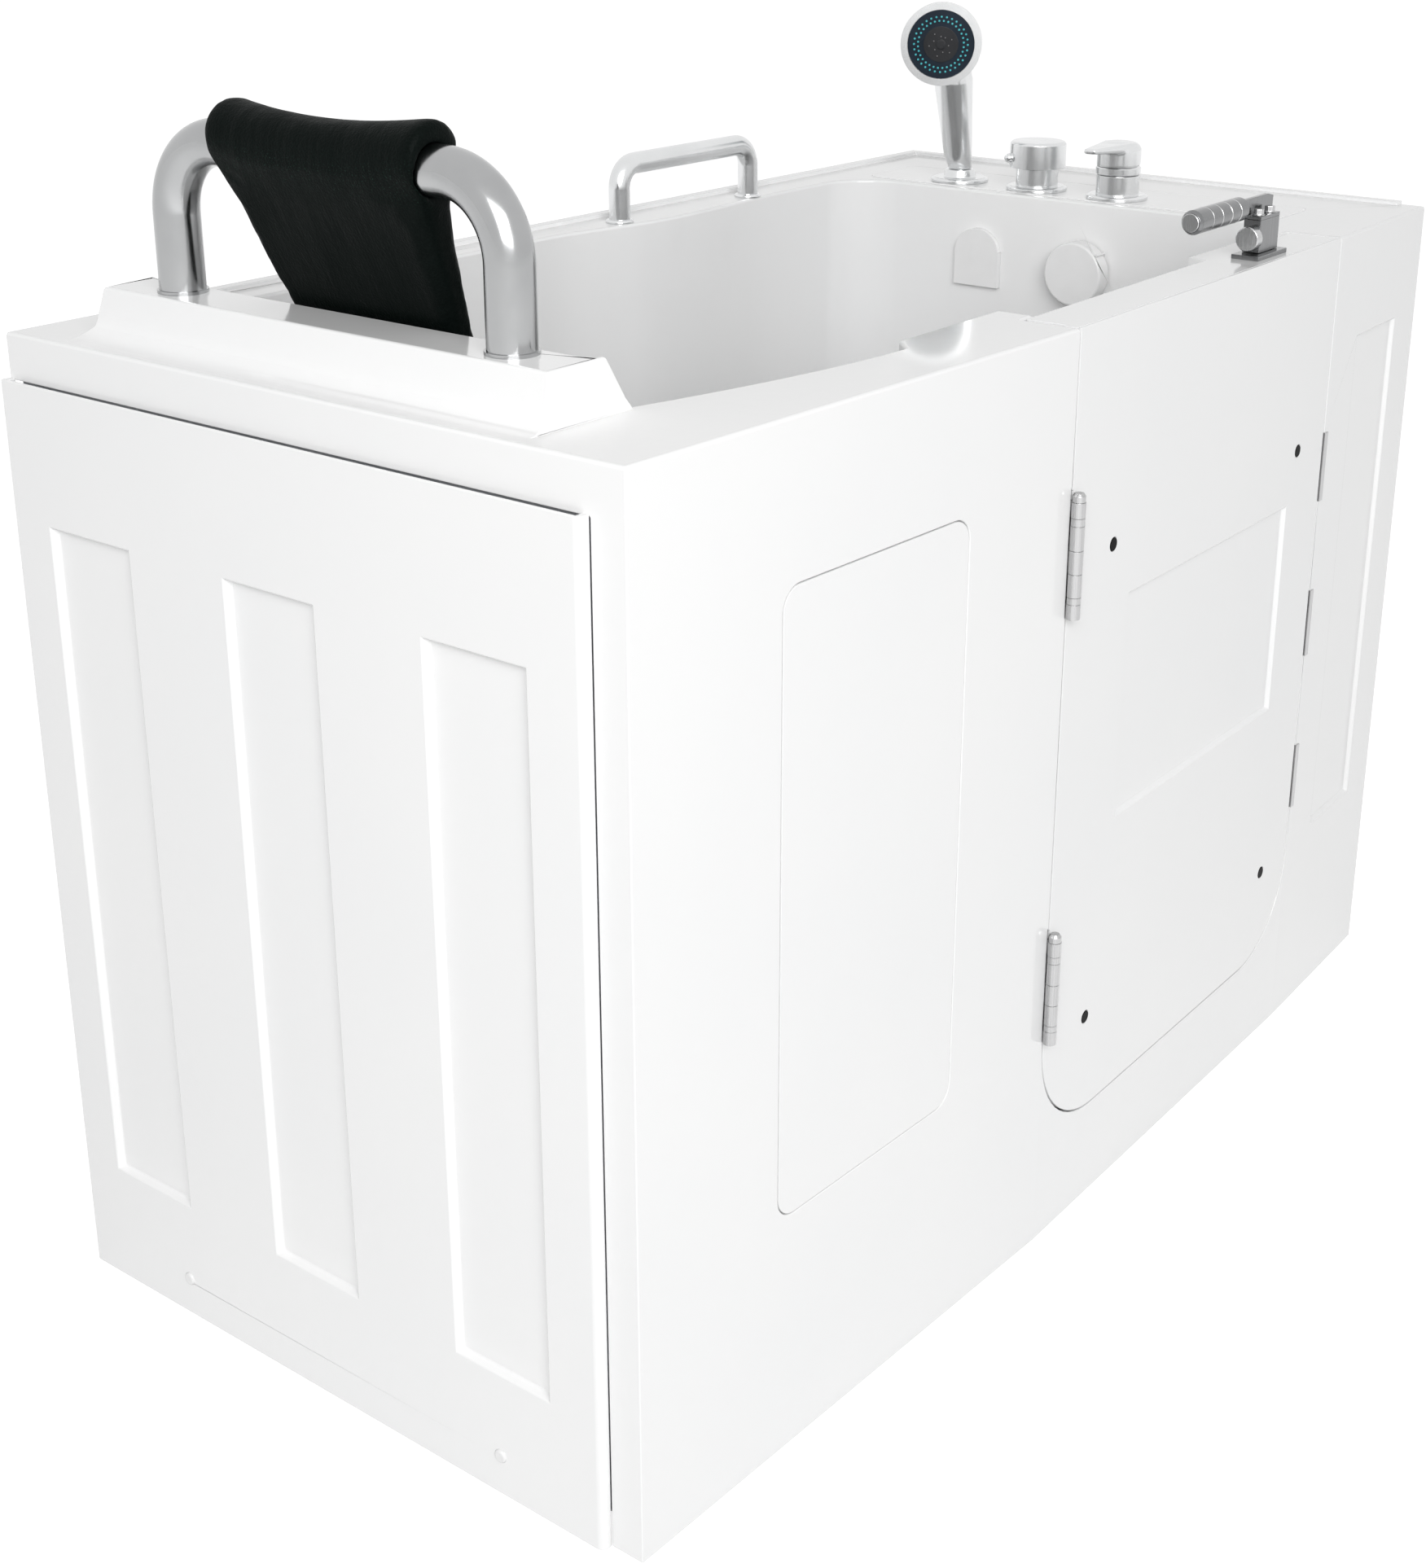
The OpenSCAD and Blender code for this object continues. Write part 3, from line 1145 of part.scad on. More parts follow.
pipe_x = basin_x1 + shell_t + 24;
pipe_z = 60;
waste_end = 110;
spigot_d = waste_d + 4;
spigot_l = 30;
spigot_z = 8;
module waste_run(d, grow) {
    x0 = basin_x1 - drain_in + 22;
    x1 = tub_l - waste_end;
    translate([x0, 0, pipe_z]) rotate([0, 90, 0]) cylinder(d = d, h = x1 - x0);
    translate([x1, 0, pipe_z]) sphere(d = d);
    translate([x1, 0, spigot_z - grow]) cylinder(d = d, h = pipe_z - spigot_z + grow);
    translate([pipe_x, 0, pipe_z]) cylinder(d = d, h = wall_fit_z - 31 - pipe_z + grow);
}
module waste_pipe() color("whitesmoke") at_tub() translate([0, drain_y, 0]) difference() {
    union() {
        waste_run(waste_d, 0);
        translate([tub_l - waste_end, 0, spigot_z]) cylinder(d = spigot_d, h = spigot_l);
    }
    waste_run(waste_d - 2 * waste_wall, 1);
}
module drain_body() color("dimgray") drain_place() difference() {
    union() {
        translate([0, 0, floor_h - shell_t - 6]) cylinder(d = 74, h = 6);
        translate([0, 0, pipe_z - waste_d / 2 - 4]) cylinder(d = 48, h = floor_h - shell_t - pipe_z + waste_d / 2 + 4);
    }
    translate([0, 0, pipe_z - waste_d / 2]) cylinder(d = 40, h = floor_h);
    translate([22, 0, pipe_z]) rotate([0, 90, 0]) cylinder(d = waste_d + 0.1, h = 60);
}
module drain_strainer() color("silver") drain_place() difference() {
    union() {
        translate([0, 0, floor_h]) cylinder(d1 = 70, d2 = 62, h = 2.5);
        translate([0, 0, floor_h - 26]) cylinder(d = 39.8, h = 26.1);
    }
    translate([0, 0, floor_h - 20]) cylinder(d = 36, h = 30);
    for (i = [0 : 3]) rotate([0, 0, 45 + 90 * i]) translate([11.5, 0, floor_h - 40]) cylinder(d = 9, h = 40);
    translate([0, 0, floor_h - 40]) cylinder(d = 8.1, h = 40);
}
stopper_lift = 10;
module drain_stopper() color("silver") drain_place() {
    translate([0, 0, floor_h - 6]) cylinder(d = 35.4, h = 7);
    translate([0, 0, floor_h + 1]) cylinder(d1 = 35.4, d2 = 30, h = 2);
    translate([0, 0, floor_h - 44]) cylinder(d = 8, h = 40);
}

basin();
deck();
front_apron();
door_frame();
door_seal();
head_end_panel();
end_panel_screws();
rail_front();
rail_back();
rail_head();
rail_mid();
rail_foot();
post_head_front();
post_head_back();
post_foot_front();
post_foot_back();
floor_bearers();
seat_support();
foot_studs();
foot_pads();
foot_locknuts();
hinge_leaf_frame();
hinge_pins();
hinge_bushings();
latch_keepers();
headrest_bar();
headrest_nuts();
grab_bar();
grab_bar_flanges();
shower_holder();
diverter_base();
mixer_base();
valve_nuts();
filler_spout();
overflow_housing();
drain_body();
drain_strainer();
waste_pipe();
door_skin();
door_pan();
door_screw_caps();
hinge_leaf_door();
lock_plate();
latch_guides();
lock_hub();
lock_bolts();
lock_arm();
lock_grip();
lock_cap();
latch_shaft();
latch_bar();
access_panel();
headrest_pad();
shower_handset();
shower_face();
diverter_knob();
mixer_cartridge();
mixer_lever();
overflow_knob();
drain_stopper();
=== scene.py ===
import json
import math

import bmesh
import bpy
from mathutils import Matrix, Vector

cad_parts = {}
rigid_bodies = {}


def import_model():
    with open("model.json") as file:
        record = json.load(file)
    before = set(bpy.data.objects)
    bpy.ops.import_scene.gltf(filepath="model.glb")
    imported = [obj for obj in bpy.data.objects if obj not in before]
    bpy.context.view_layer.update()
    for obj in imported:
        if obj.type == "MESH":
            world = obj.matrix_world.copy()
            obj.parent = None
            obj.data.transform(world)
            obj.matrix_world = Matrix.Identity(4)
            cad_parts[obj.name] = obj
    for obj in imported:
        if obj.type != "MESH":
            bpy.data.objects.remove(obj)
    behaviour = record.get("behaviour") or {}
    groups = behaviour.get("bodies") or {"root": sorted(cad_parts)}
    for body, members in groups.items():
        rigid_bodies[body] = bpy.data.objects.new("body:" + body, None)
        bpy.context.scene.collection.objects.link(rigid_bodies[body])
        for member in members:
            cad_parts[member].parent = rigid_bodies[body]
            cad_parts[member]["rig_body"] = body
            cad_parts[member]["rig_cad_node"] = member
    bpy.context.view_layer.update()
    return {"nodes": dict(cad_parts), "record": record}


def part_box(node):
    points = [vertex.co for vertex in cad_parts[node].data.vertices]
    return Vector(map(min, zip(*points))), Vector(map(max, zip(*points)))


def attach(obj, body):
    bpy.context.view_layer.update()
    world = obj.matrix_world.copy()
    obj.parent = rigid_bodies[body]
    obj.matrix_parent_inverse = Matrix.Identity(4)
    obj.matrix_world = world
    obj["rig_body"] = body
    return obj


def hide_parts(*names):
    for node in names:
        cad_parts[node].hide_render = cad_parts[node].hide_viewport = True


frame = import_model()
print("tub frame loaded", len(frame["nodes"]), "nodes")

cameraView = {
    "place": (-1.97315, -1.40298, 1.4663),  # metres, the angles below in degrees
    "yaw": 37.383,
    "down": 19.841,
    "roll": 0.177,
    "lens": 51.66,
    "shift": (-0.02236, -0.0978),
    "sensor": 36,
    "farthest": 60,
}


def addCamera(view):
    data = bpy.data.cameras.new("camera")
    cam = bpy.data.objects.new("camera", data)
    bpy.context.scene.collection.objects.link(cam)
    data.sensor_width = view["sensor"]
    data.lens = view["lens"]
    data.shift_x, data.shift_y = view["shift"]
    data.clip_end = view["farthest"]
    yaw, down, roll = (math.radians(view[k]) for k in ("yaw", "down", "roll"))
    ahead = Vector((math.cos(yaw) * math.cos(down), math.sin(yaw) * math.cos(down), -math.sin(down)))
    level = Vector((math.sin(yaw), -math.cos(yaw), 0))
    plumb = level.cross(ahead)
    side = level * math.cos(roll) + plumb * math.sin(roll)
    up = plumb * math.cos(roll) - level * math.sin(roll)
    turn = Matrix((side, up, -ahead)).transposed().to_4x4()
    cam.matrix_world = Matrix.Translation(Vector(view["place"])) @ turn
    bpy.context.scene.camera = cam


addCamera(cameraView)
print("camera set")

# floor, sky and lamp


def newMaterial(name):
    mat = bpy.data.materials.new(name)
    mat.use_nodes = True
    mat.node_tree.nodes.clear()
    return mat, mat.node_tree.nodes, mat.node_tree.links


def seenWhite(nodes, links):
    # 1 for what the camera, polished metal or glass sees, 0 for other rays
    path = nodes.new("ShaderNodeLightPath")
    first = nodes.new("ShaderNodeMath")
    first.operation = "MAXIMUM"
    links.new(path.outputs["Is Camera Ray"], first.inputs[0])
    links.new(path.outputs["Is Glossy Ray"], first.inputs[1])
    both = nodes.new("ShaderNodeMath")
    both.operation = "MAXIMUM"
    links.new(first.outputs[0], both.inputs[0])
    links.new(path.outputs["Is Transmission Ray"], both.inputs[1])
    return both.outputs[0]


studio = {
    "floorSize": 60.0,
    "floorColour": (0.60, 0.60, 0.60, 1),
    "floorGlow": 0.80,  # only for what the camera or polished metal sees
    "skyGlow": (0.70, 0.32),  # at the horizon, overhead
    "skySpan": (0.1, 0.9),
    "keyPower": 168.0,
    "keyPlace": (-3.2, -2.9, 3.0),
    "keySize": (3.2, 2.4),
    "aim": (-0.4, 0.0, 0.6),
}


def addFloor(s):
    bpy.ops.mesh.primitive_plane_add(size=s["floorSize"], location=(0, 0, 0))
    floor = bpy.context.object
    floor.name = "studioFloor"
    mat, nodes, links = newMaterial("floorWhite")
    out = nodes.new("ShaderNodeOutputMaterial")
    matt = nodes.new("ShaderNodeBsdfDiffuse")
    matt.inputs["Color"].default_value = s["floorColour"]
    glow = nodes.new("ShaderNodeEmission")
    glow.inputs["Color"].default_value = (1, 1, 1, 1)
    scale = nodes.new("ShaderNodeMath")
    scale.operation = "MULTIPLY"
    scale.inputs[1].default_value = s["floorGlow"]
    links.new(seenWhite(nodes, links), scale.inputs[0])
    links.new(scale.outputs[0], glow.inputs["Strength"])
    add = nodes.new("ShaderNodeAddShader")
    links.new(matt.outputs[0], add.inputs[0])
    links.new(glow.outputs[0], add.inputs[1])
    links.new(add.outputs[0], out.inputs["Surface"])
    floor.data.materials.append(mat)


def addSky(s):
    world = bpy.data.worlds.new("studioSky")
    bpy.context.scene.world = world
    world.use_nodes = True
    nodes, links = world.node_tree.nodes, world.node_tree.links
    nodes.clear()
    out = nodes.new("ShaderNodeOutputWorld")
    back = nodes.new("ShaderNodeBackground")
    back.inputs["Color"].default_value = (1, 1, 1, 1)
    # the sky is brighter near the horizon than overhead
    coords = nodes.new("ShaderNodeTexCoord")
    split = nodes.new("ShaderNodeSeparateXYZ")
    links.new(coords.outputs["Generated"], split.inputs[0])
    height = nodes.new("ShaderNodeMapRange")
    height.interpolation_type = "SMOOTHSTEP"
    height.inputs["From Min"].default_value = s["skySpan"][0]
    height.inputs["From Max"].default_value = s["skySpan"][1]
    height.inputs["To Min"].default_value = s["skyGlow"][0]
    height.inputs["To Max"].default_value = s["skyGlow"][1]
    links.new(split.outputs["Z"], height.inputs["Value"])
    level = nodes.new("ShaderNodeMapRange")
    links.new(height.outputs["Result"], level.inputs["To Min"])
    level.inputs["To Max"].default_value = 1.0
    links.new(seenWhite(nodes, links), level.inputs["Value"])
    links.new(level.outputs["Result"], back.inputs["Strength"])
    links.new(back.outputs[0], out.inputs["Surface"])


def addLamp(name, spot, size, power, aim):
    data = bpy.data.lights.new(name, "AREA")
    data.shape = "RECTANGLE"
    data.size, data.size_y = size
    data.energy = power
    lamp = bpy.data.objects.new(name, data)
    bpy.context.scene.collection.objects.link(lamp)
    lamp.location = spot
    lamp.rotation_euler = (Vector(aim) - Vector(spot)).to_track_quat("-Z", "Y").to_euler()


addFloor(studio)
addSky(studio)
addLamp("keyLamp", studio["keyPlace"], studio["keySize"], studio["keyPower"], studio["aim"])
bpy.context.scene.view_settings.view_transform = "Standard"
print("studio set")

# what the finishes share; patterns hold (scale, detail, roughness), depths (strength, distance)


def place(nodes, links, stretch=(1, 1, 1), turn=(0, 0, 0)):
    coords = nodes.new("ShaderNodeTexCoord")
    mapping = nodes.new("ShaderNodeMapping")
    mapping.inputs["Scale"].default_value = stretch
    mapping.inputs["Rotation"].default_value = turn
    links.new(coords.outputs["Object"], mapping.inputs["Vector"])
    return mapping.outputs["Vector"]


def noise(nodes, links, where, scale, detail=3.0, rough=0.55):
    tex = nodes.new("ShaderNodeTexNoise")
    tex.inputs["Scale"].default_value = scale
    tex.inputs["Detail"].default_value = detail
    tex.inputs["Roughness"].default_value = rough
    links.new(where, tex.inputs["Vector"])
    return tex.outputs["Fac"]


def spread(nodes, links, value, low, high, fromLow=0.3, fromHigh=0.7):
    span = nodes.new("ShaderNodeMapRange")
    span.inputs["From Min"].default_value = fromLow
    span.inputs["From Max"].default_value = fromHigh
    span.inputs["To Min"].default_value = low
    span.inputs["To Max"].default_value = high
    links.new(value, span.inputs["Value"])
    return span.outputs["Result"]


def tints(nodes, links, value, colours):
    ramp = nodes.new("ShaderNodeValToRGB")
    while len(ramp.color_ramp.elements) < len(colours):
        ramp.color_ramp.elements.new(0.5)
    for stop, (at, colour) in zip(ramp.color_ramp.elements, colours):
        stop.position = at
        stop.color = (*colour, 1)
    links.new(value, ramp.inputs["Fac"])
    return ramp.outputs["Color"]


def relief(nodes, links, shader, height, strength, distance):
    bump = nodes.new("ShaderNodeBump")
    bump.inputs["Strength"].default_value = strength
    bump.inputs["Distance"].default_value = distance
    links.new(height, bump.inputs["Height"])
    links.new(bump.outputs["Normal"], shader.inputs["Normal"])
    return bump


def shaderOf(name, **sockets):
    mat, nodes, links = newMaterial(name)
    out = nodes.new("ShaderNodeOutputMaterial")
    shader = nodes.new("ShaderNodeBsdfPrincipled")
    links.new(shader.outputs[0], out.inputs["Surface"])
    for socket, value in sockets.items():
        shader.inputs[socket.replace("_", " ")].default_value = value
    return mat, nodes, links, shader


gelcoat = {
    "cloud": (2.6, 2.0),
    "shades": ((0.3, (0.865, 0.868, 0.87)), (0.7, (0.885, 0.885, 0.883))),
    "handling": (9.0, 4.0, 0.6),
    "rough": (0.10, 0.17),
    "peel": (70.0, 2.0),
    "peelDepth": (0.05, 0.001),
}


def gelcoatFinish(p):
    mat, nodes, links, shader = shaderOf("whiteGelcoat", IOR=1.5, Coat_Weight=0.35, Coat_Roughness=0.05)
    where = place(nodes, links)
    cloudy = noise(nodes, links, where, *p["cloud"])
    links.new(tints(nodes, links, cloudy, p["shades"]), shader.inputs["Base Color"])
    handled = noise(nodes, links, where, *p["handling"])
    links.new(spread(nodes, links, handled, *p["rough"]), shader.inputs["Roughness"])
    peel = noise(nodes, links, where, *p["peel"])
    relief(nodes, links, shader, peel, *p["peelDepth"])
    return mat


chrome = {
    "film": (14.0, 4.0),
    "smears": (45.0, 5.0, 0.65),
    "ripple": (30.0, 2.0),
    "rippleDepth": (0.03, 0.001),
}


def chromeFinish(name, low, high, rough, p=chrome):
    mat, nodes, links, shader = shaderOf(name, Metallic=1.0)
    where = place(nodes, links)
    film = noise(nodes, links, where, *p["film"])
    links.new(tints(nodes, links, film, ((0.3, low), (0.7, high))), shader.inputs["Base Color"])
    smear = noise(nodes, links, where, *p["smears"])
    links.new(spread(nodes, links, smear, *rough), shader.inputs["Roughness"])
    ripple = noise(nodes, links, where, *p["ripple"])
    relief(nodes, links, shader, ripple, *p["rippleDepth"])
    return mat


steel = {
    "brushing": (900, 900, 14),
    "lines": (1.0, 3.0),
    "lineDepth": (0.08, 0.0004),
}


def steelFinish(name, low, high, rough, p=steel):
    mat, nodes, links, shader = shaderOf(name, Metallic=1.0)
    where = place(nodes, links, p["brushing"])
    lines = noise(nodes, links, where, *p["lines"])
    links.new(tints(nodes, links, lines, ((0.25, low), (0.75, high))), shader.inputs["Base Color"])
    links.new(spread(nodes, links, lines, *rough), shader.inputs["Roughness"])
    relief(nodes, links, shader, lines, *p["lineDepth"])
    return mat


framePaint = {
    "cloud": (11.0, 5.0),
    "shades": ((0.3, (0.27, 0.28, 0.30)), (0.7, (0.34, 0.35, 0.37))),
    "rough": (0.34, 0.5),
    "pebbles": (420.0, 3.0),
    "pebbleDepth": (0.18, 0.0006),
}


def paintFinish(p):
    mat, nodes, links, shader = shaderOf("greyFramePaint", IOR=1.45)
    where = place(nodes, links)
    cloudy = noise(nodes, links, where, *p["cloud"])
    links.new(tints(nodes, links, cloudy, p["shades"]), shader.inputs["Base Color"])
    links.new(spread(nodes, links, cloudy, *p["rough"]), shader.inputs["Roughness"])
    pebble = noise(nodes, links, where, *p["pebbles"])
    relief(nodes, links, shader, pebble, *p["pebbleDepth"])
    return mat


sealRubber = {
    "dust": (60.0, 5.0, 0.65),
    "shades": ((0.3, (0.016, 0.016, 0.017)), (0.75, (0.045, 0.045, 0.045))),
    "rough": (0.6, 0.8),
    "grain": (900.0, 2.0),
    "grainDepth": (0.2, 0.0005),
}


def rubberFinish(p):
    mat, nodes, links, shader = shaderOf("blackRubber", IOR=1.45)
    where = place(nodes, links)
    dust = noise(nodes, links, where, *p["dust"])
    links.new(tints(nodes, links, dust, p["shades"]), shader.inputs["Base Color"])
    links.new(spread(nodes, links, dust, *p["rough"]), shader.inputs["Roughness"])
    grain = noise(nodes, links, where, *p["grain"])
    relief(nodes, links, shader, grain, *p["grainDepth"])
    return mat


padVinyl = {
    "specular": 0.05,
    "grainScale": 520.0,
    "grainEven": 0.4,
    "shades": ((0.1, (0.0012, 0.0026, 0.0022)), (0.8, (0.0026, 0.0046, 0.0040))),
    # painted highlight: the heights of the band along the bend over the bar, and the pale specks painted
    # into it
    "paintedHighlightHeights": (1.165, 1.235),
    "paintedHighlightBand": ((0.0, (0, 0, 0)), (0.4, (1, 1, 1)), (0.75, (0, 0, 0))),
    "highlightSpecks": (700.0, 2.0, 0.7),
    "highlightSpeckSpan": (0.6, 0.72),
    "highlightSpeckColour": (0.02, 0.045, 0.035, 1),
    "worn": (22.0, 4.0),
    "rough": (0.42, 0.56),
    "creaseStretch": (26, 60, 5),
    "creaseTurn": (0, 0.25, 0),
    "creases": (1.0, 3.0),
    "creaseDepth": (0.35, 0.004),
    "poreDepth": (0.35, 0.0008),
}


def vinylFinish(p):
    mat, nodes, links, shader = shaderOf("blackVinyl", IOR=1.45, Specular_IOR_Level=p["specular"])
    where = place(nodes, links)
    grain = nodes.new("ShaderNodeTexVoronoi")
    grain.feature = "SMOOTH_F1"
    grain.inputs["Scale"].default_value = p["grainScale"]
    grain.inputs["Smoothness"].default_value = p["grainEven"]
    links.new(where, grain.inputs["Vector"])
    skin = tints(nodes, links, grain.outputs["Distance"], p["shades"])
    # painted highlight: pale specks of the grain in a band along the bend over the bar, where the light
    # catches the curve
    split = nodes.new("ShaderNodeSeparateXYZ")
    links.new(where, split.inputs[0])
    height = spread(nodes, links, split.outputs["Z"], 0.0, 1.0, *p["paintedHighlightHeights"])
    highlightBand = tints(nodes, links, height, p["paintedHighlightBand"])
    highlightSpeck = spread(nodes, links, noise(nodes, links, where, *p["highlightSpecks"]), 0.0, 1.0, *p["highlightSpeckSpan"])
    both = nodes.new("ShaderNodeMath")
    both.operation = "MULTIPLY"
    links.new(highlightBand, both.inputs[0])
    links.new(highlightSpeck, both.inputs[1])
    paintedHighlight = nodes.new("ShaderNodeMix")
    paintedHighlight.data_type = "RGBA"
    paintedHighlight.inputs["B"].default_value = p["highlightSpeckColour"]
    links.new(both.outputs[0], paintedHighlight.inputs["Factor"])
    links.new(skin, paintedHighlight.inputs["A"])
    links.new(paintedHighlight.outputs["Result"], shader.inputs["Base Color"])
    worn = noise(nodes, links, where, *p["worn"])
    links.new(spread(nodes, links, worn, *p["rough"]), shader.inputs["Roughness"])
    # faint creases that run down the pad, under the fine grain
    downPad = place(nodes, links, p["creaseStretch"], p["creaseTurn"])
    creases = noise(nodes, links, downPad, *p["creases"])
    folds = relief(nodes, links, shader, creases, *p["creaseDepth"])
    pores = relief(nodes, links, shader, grain.outputs["Distance"], *p["poreDepth"])
    links.new(folds.outputs["Normal"], pores.inputs["Normal"])
    return mat


plastic = {
    "cloud": (18.0, 3.0),
    "peel": (180.0, 2.0),
    "peelDepth": (0.05, 0.0008),
}


def plasticFinish(name, low, high, rough, gloss=0.5, p=plastic):
    mat, nodes, links, shader = shaderOf(name, IOR=1.48, Specular_IOR_Level=gloss)
    where = place(nodes, links)
    cloudy = noise(nodes, links, where, *p["cloud"])
    links.new(tints(nodes, links, cloudy, ((0.3, low), (0.7, high))), shader.inputs["Base Color"])
    links.new(spread(nodes, links, cloudy, *rough), shader.inputs["Roughness"])
    peel = noise(nodes, links, where, *p["peel"])
    relief(nodes, links, shader, peel, *p["peelDepth"])
    return mat


turnedBrass = {
    "film": (60.0, 4.0),
    "shades": ((0.3, (0.46, 0.33, 0.13)), (0.7, (0.62, 0.46, 0.21))),
    "rough": (0.2, 0.38),
    "turningStretch": (30, 30, 1500),
    "turning": (1.0, 2.0),
    "turningDepth": (0.12, 0.0003),
}


def brassFinish(p):
    mat, nodes, links, shader = shaderOf("brass", Metallic=1.0)
    where = place(nodes, links)
    film = noise(nodes, links, where, *p["film"])
    links.new(tints(nodes, links, film, p["shades"]), shader.inputs["Base Color"])
    links.new(spread(nodes, links, film, *p["rough"]), shader.inputs["Roughness"])
    turned = noise(nodes, links, place(nodes, links, p["turningStretch"]), *p["turning"])
    relief(nodes, links, shader, turned, *p["turningDepth"])
    return mat


bearerTimber = {
    "ringStretch": (2.2, 26, 26),
    "ringScale": 0.55,
    "ringWander": 7.0,
    "ringDetail": 3.0,
    "shades": ((0.1, (0.42, 0.27, 0.13)), (0.55, (0.60, 0.42, 0.23)), (0.95, (0.50, 0.33, 0.17))),
    "fibreStretch": (12, 420, 420),
    "fibres": (1.0, 3.0),
    "rough": (0.55, 0.75),
    "fibreDepth": (0.25, 0.0006),
}


def timberFinish(p):
    mat, nodes, links, shader = shaderOf("softwood", IOR=1.45)
    rings = nodes.new("ShaderNodeTexWave")
    rings.wave_type = "RINGS"
    rings.inputs["Scale"].default_value = p["ringScale"]
    rings.inputs["Distortion"].default_value = p["ringWander"]
    rings.inputs["Detail"].default_value = p["ringDetail"]
    links.new(place(nodes, links, p["ringStretch"]), rings.inputs["Vector"])
    links.new(tints(nodes, links, rings.outputs["Fac"], p["shades"]), shader.inputs["Base Color"])
    fibre = noise(nodes, links, place(nodes, links, p["fibreStretch"]), *p["fibres"])
    links.new(spread(nodes, links, fibre, *p["rough"]), shader.inputs["Roughness"])
    relief(nodes, links, shader, fibre, *p["fibreDepth"])
    return mat


finishes = {
    "gelcoat": gelcoatFinish(gelcoat),
    "chrome": chromeFinish("polishedChrome", (0.72, 0.73, 0.735), (0.79, 0.795, 0.80), (0.19, 0.27)),
    "satinChrome": chromeFinish("satinChrome", (0.40, 0.405, 0.41), (0.445, 0.45, 0.453), (0.15, 0.22)),
    "steel": steelFinish("brushedSteel", (0.42, 0.42, 0.425), (0.56, 0.56, 0.56), (0.22, 0.34)),
    "darkSteel": steelFinish("darkSteel", (0.20, 0.203, 0.207), (0.27, 0.273, 0.277), (0.17, 0.26)),
    # on the lock's cap and the grip's end face this pale steel is painted light, for the light on faces
    # toward the head end
    "paleSteel": steelFinish("paleSteel", (0.50, 0.505, 0.51), (0.60, 0.602, 0.605), (0.2, 0.3)),
    "frame_paint": paintFinish(framePaint),
    "rubber": rubberFinish(sealRubber),
    "vinyl": vinylFinish(padVinyl),
    "black_plastic": plasticFinish(
        "blackPlastic", (0.0015, 0.0015, 0.0016), (0.004, 0.004, 0.0042), (0.34, 0.48), 0.05),
    "nozzle_plate": plasticFinish(
        "sprayPlate", (0.006, 0.013, 0.022), (0.012, 0.022, 0.036), (0.24, 0.36), 0.2),
    "white_plastic": plasticFinish("whitePlastic", (0.82, 0.82, 0.82), (0.86, 0.86, 0.86), (0.12, 0.2)),
    "grey_plastic": plasticFinish("greyPlastic", (0.17, 0.17, 0.175), (0.23, 0.23, 0.235), (0.4, 0.55)),
    "brass": brassFinish(turnedBrass),
    "timber": timberFinish(bearerTimber),
    "tealNozzle": plasticFinish("tealNozzle", (0.05, 0.42, 0.47), (0.09, 0.52, 0.57), (0.3, 0.42), 0.3),
    "charcoal": plasticFinish(
        "charcoalPlastic", (0.014, 0.015, 0.017), (0.024, 0.025, 0.028), (0.3, 0.42), 0.25),
}
print("finishes mixed", len(finishes))

# names, dark and pale colours, roughness from and to, and the gloss of a plastic are above;
# these pieces differ from the plain finish of their slot
finishOf = {
    "headrest_bar": "satinChrome",
    "lock_plate": "darkSteel",
    "lock_hub": "darkSteel",
    "lock_arm": "darkSteel",
    "lock_grip": "darkSteel",
    # the cap's pale steel is painted light, for the light on its face toward the head end
    "lock_cap": "paleSteel",
}
slotOf = {part["node"]: part["material_slot"] for part in frame["record"]["subparts"]}
print("slots known", len(slotOf))


def dress(obj, slotName, finish=None):
    obj.data.materials.clear()
    obj.data.materials.append(finishes[finish or slotName])
    obj.data.polygons.foreach_set("material_index", [0] * len(obj.data.polygons))


# pieces made from a merged copy of the CAD's solid, with its edges eased

cadCopy = {
    "mergeGap": 0.00002,
    "flatAngle": 0.4,
    "sharpAngle": 36,
    "edgeAngle": 32,
    "plainEase": 0.0006,
}


def alone(obj):
    bpy.ops.object.select_all(action="DESELECT")
    obj.select_set(True)
    bpy.context.view_layer.objects.active = obj


def boxOf(node):
    low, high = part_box(node)
    return Vector(low), Vector(high)


def bodyOf(node):
    for body, members in frame["record"]["behaviour"]["bodies"].items():
        if node in members:
            return body


def mergedCopy(node, newName):
    alone(frame["nodes"][node])
    bpy.ops.object.duplicate()
    piece = bpy.context.object
    piece.name = newName
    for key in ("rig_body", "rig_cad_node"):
        del piece[key]
    piece.parent = None
    piece.matrix_world = Matrix.Identity(4)
    alone(piece)
    bpy.ops.object.mode_set(mode="EDIT")
    bpy.ops.mesh.select_all(action="SELECT")
    bpy.ops.mesh.remove_doubles(threshold=cadCopy["mergeGap"])
    bpy.ops.mesh.dissolve_limited(angle_limit=math.radians(cadCopy["flatAngle"]))
    bpy.ops.object.mode_set(mode="OBJECT")
    bpy.ops.mesh.customdata_custom_splitnormals_clear()
    return piece


def easeEdges(piece, width, segments=2, angle=cadCopy["edgeAngle"]):
    alone(piece)
    bevel = piece.modifiers.new("eased", "BEVEL")
    bevel.width = width
    bevel.segments = segments
    bevel.limit_method = "ANGLE"
    bevel.angle_limit = math.radians(angle)
    bevel.use_clamp_overlap = False
    bevel.harden_normals = False
    bpy.ops.object.modifier_apply(modifier="eased")


def smoothed(piece, angle=cadCopy["sharpAngle"]):
    # flat faces stay flat, and only the eased edges and true curves carry the turn
    alone(piece)
    bpy.ops.object.shade_smooth_by_angle(angle=math.radians(angle))
    even = piece.modifiers.new("even", "WEIGHTED_NORMAL")
    even.weight = 100
    even.keep_sharp = True
    bpy.ops.object.modifier_apply(modifier="even")


def softened(node, width):
    piece = mergedCopy(node, node + "_piece")
    if width:
        easeEdges(piece, width)
    smoothed(piece)
    dress(piece, slotOf[node], finishOf.get(node))
    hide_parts(node)
    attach(piece, bodyOf(node))


# the four mouldings of the tub are bonded on the real one, so they become one skin with rounded rims

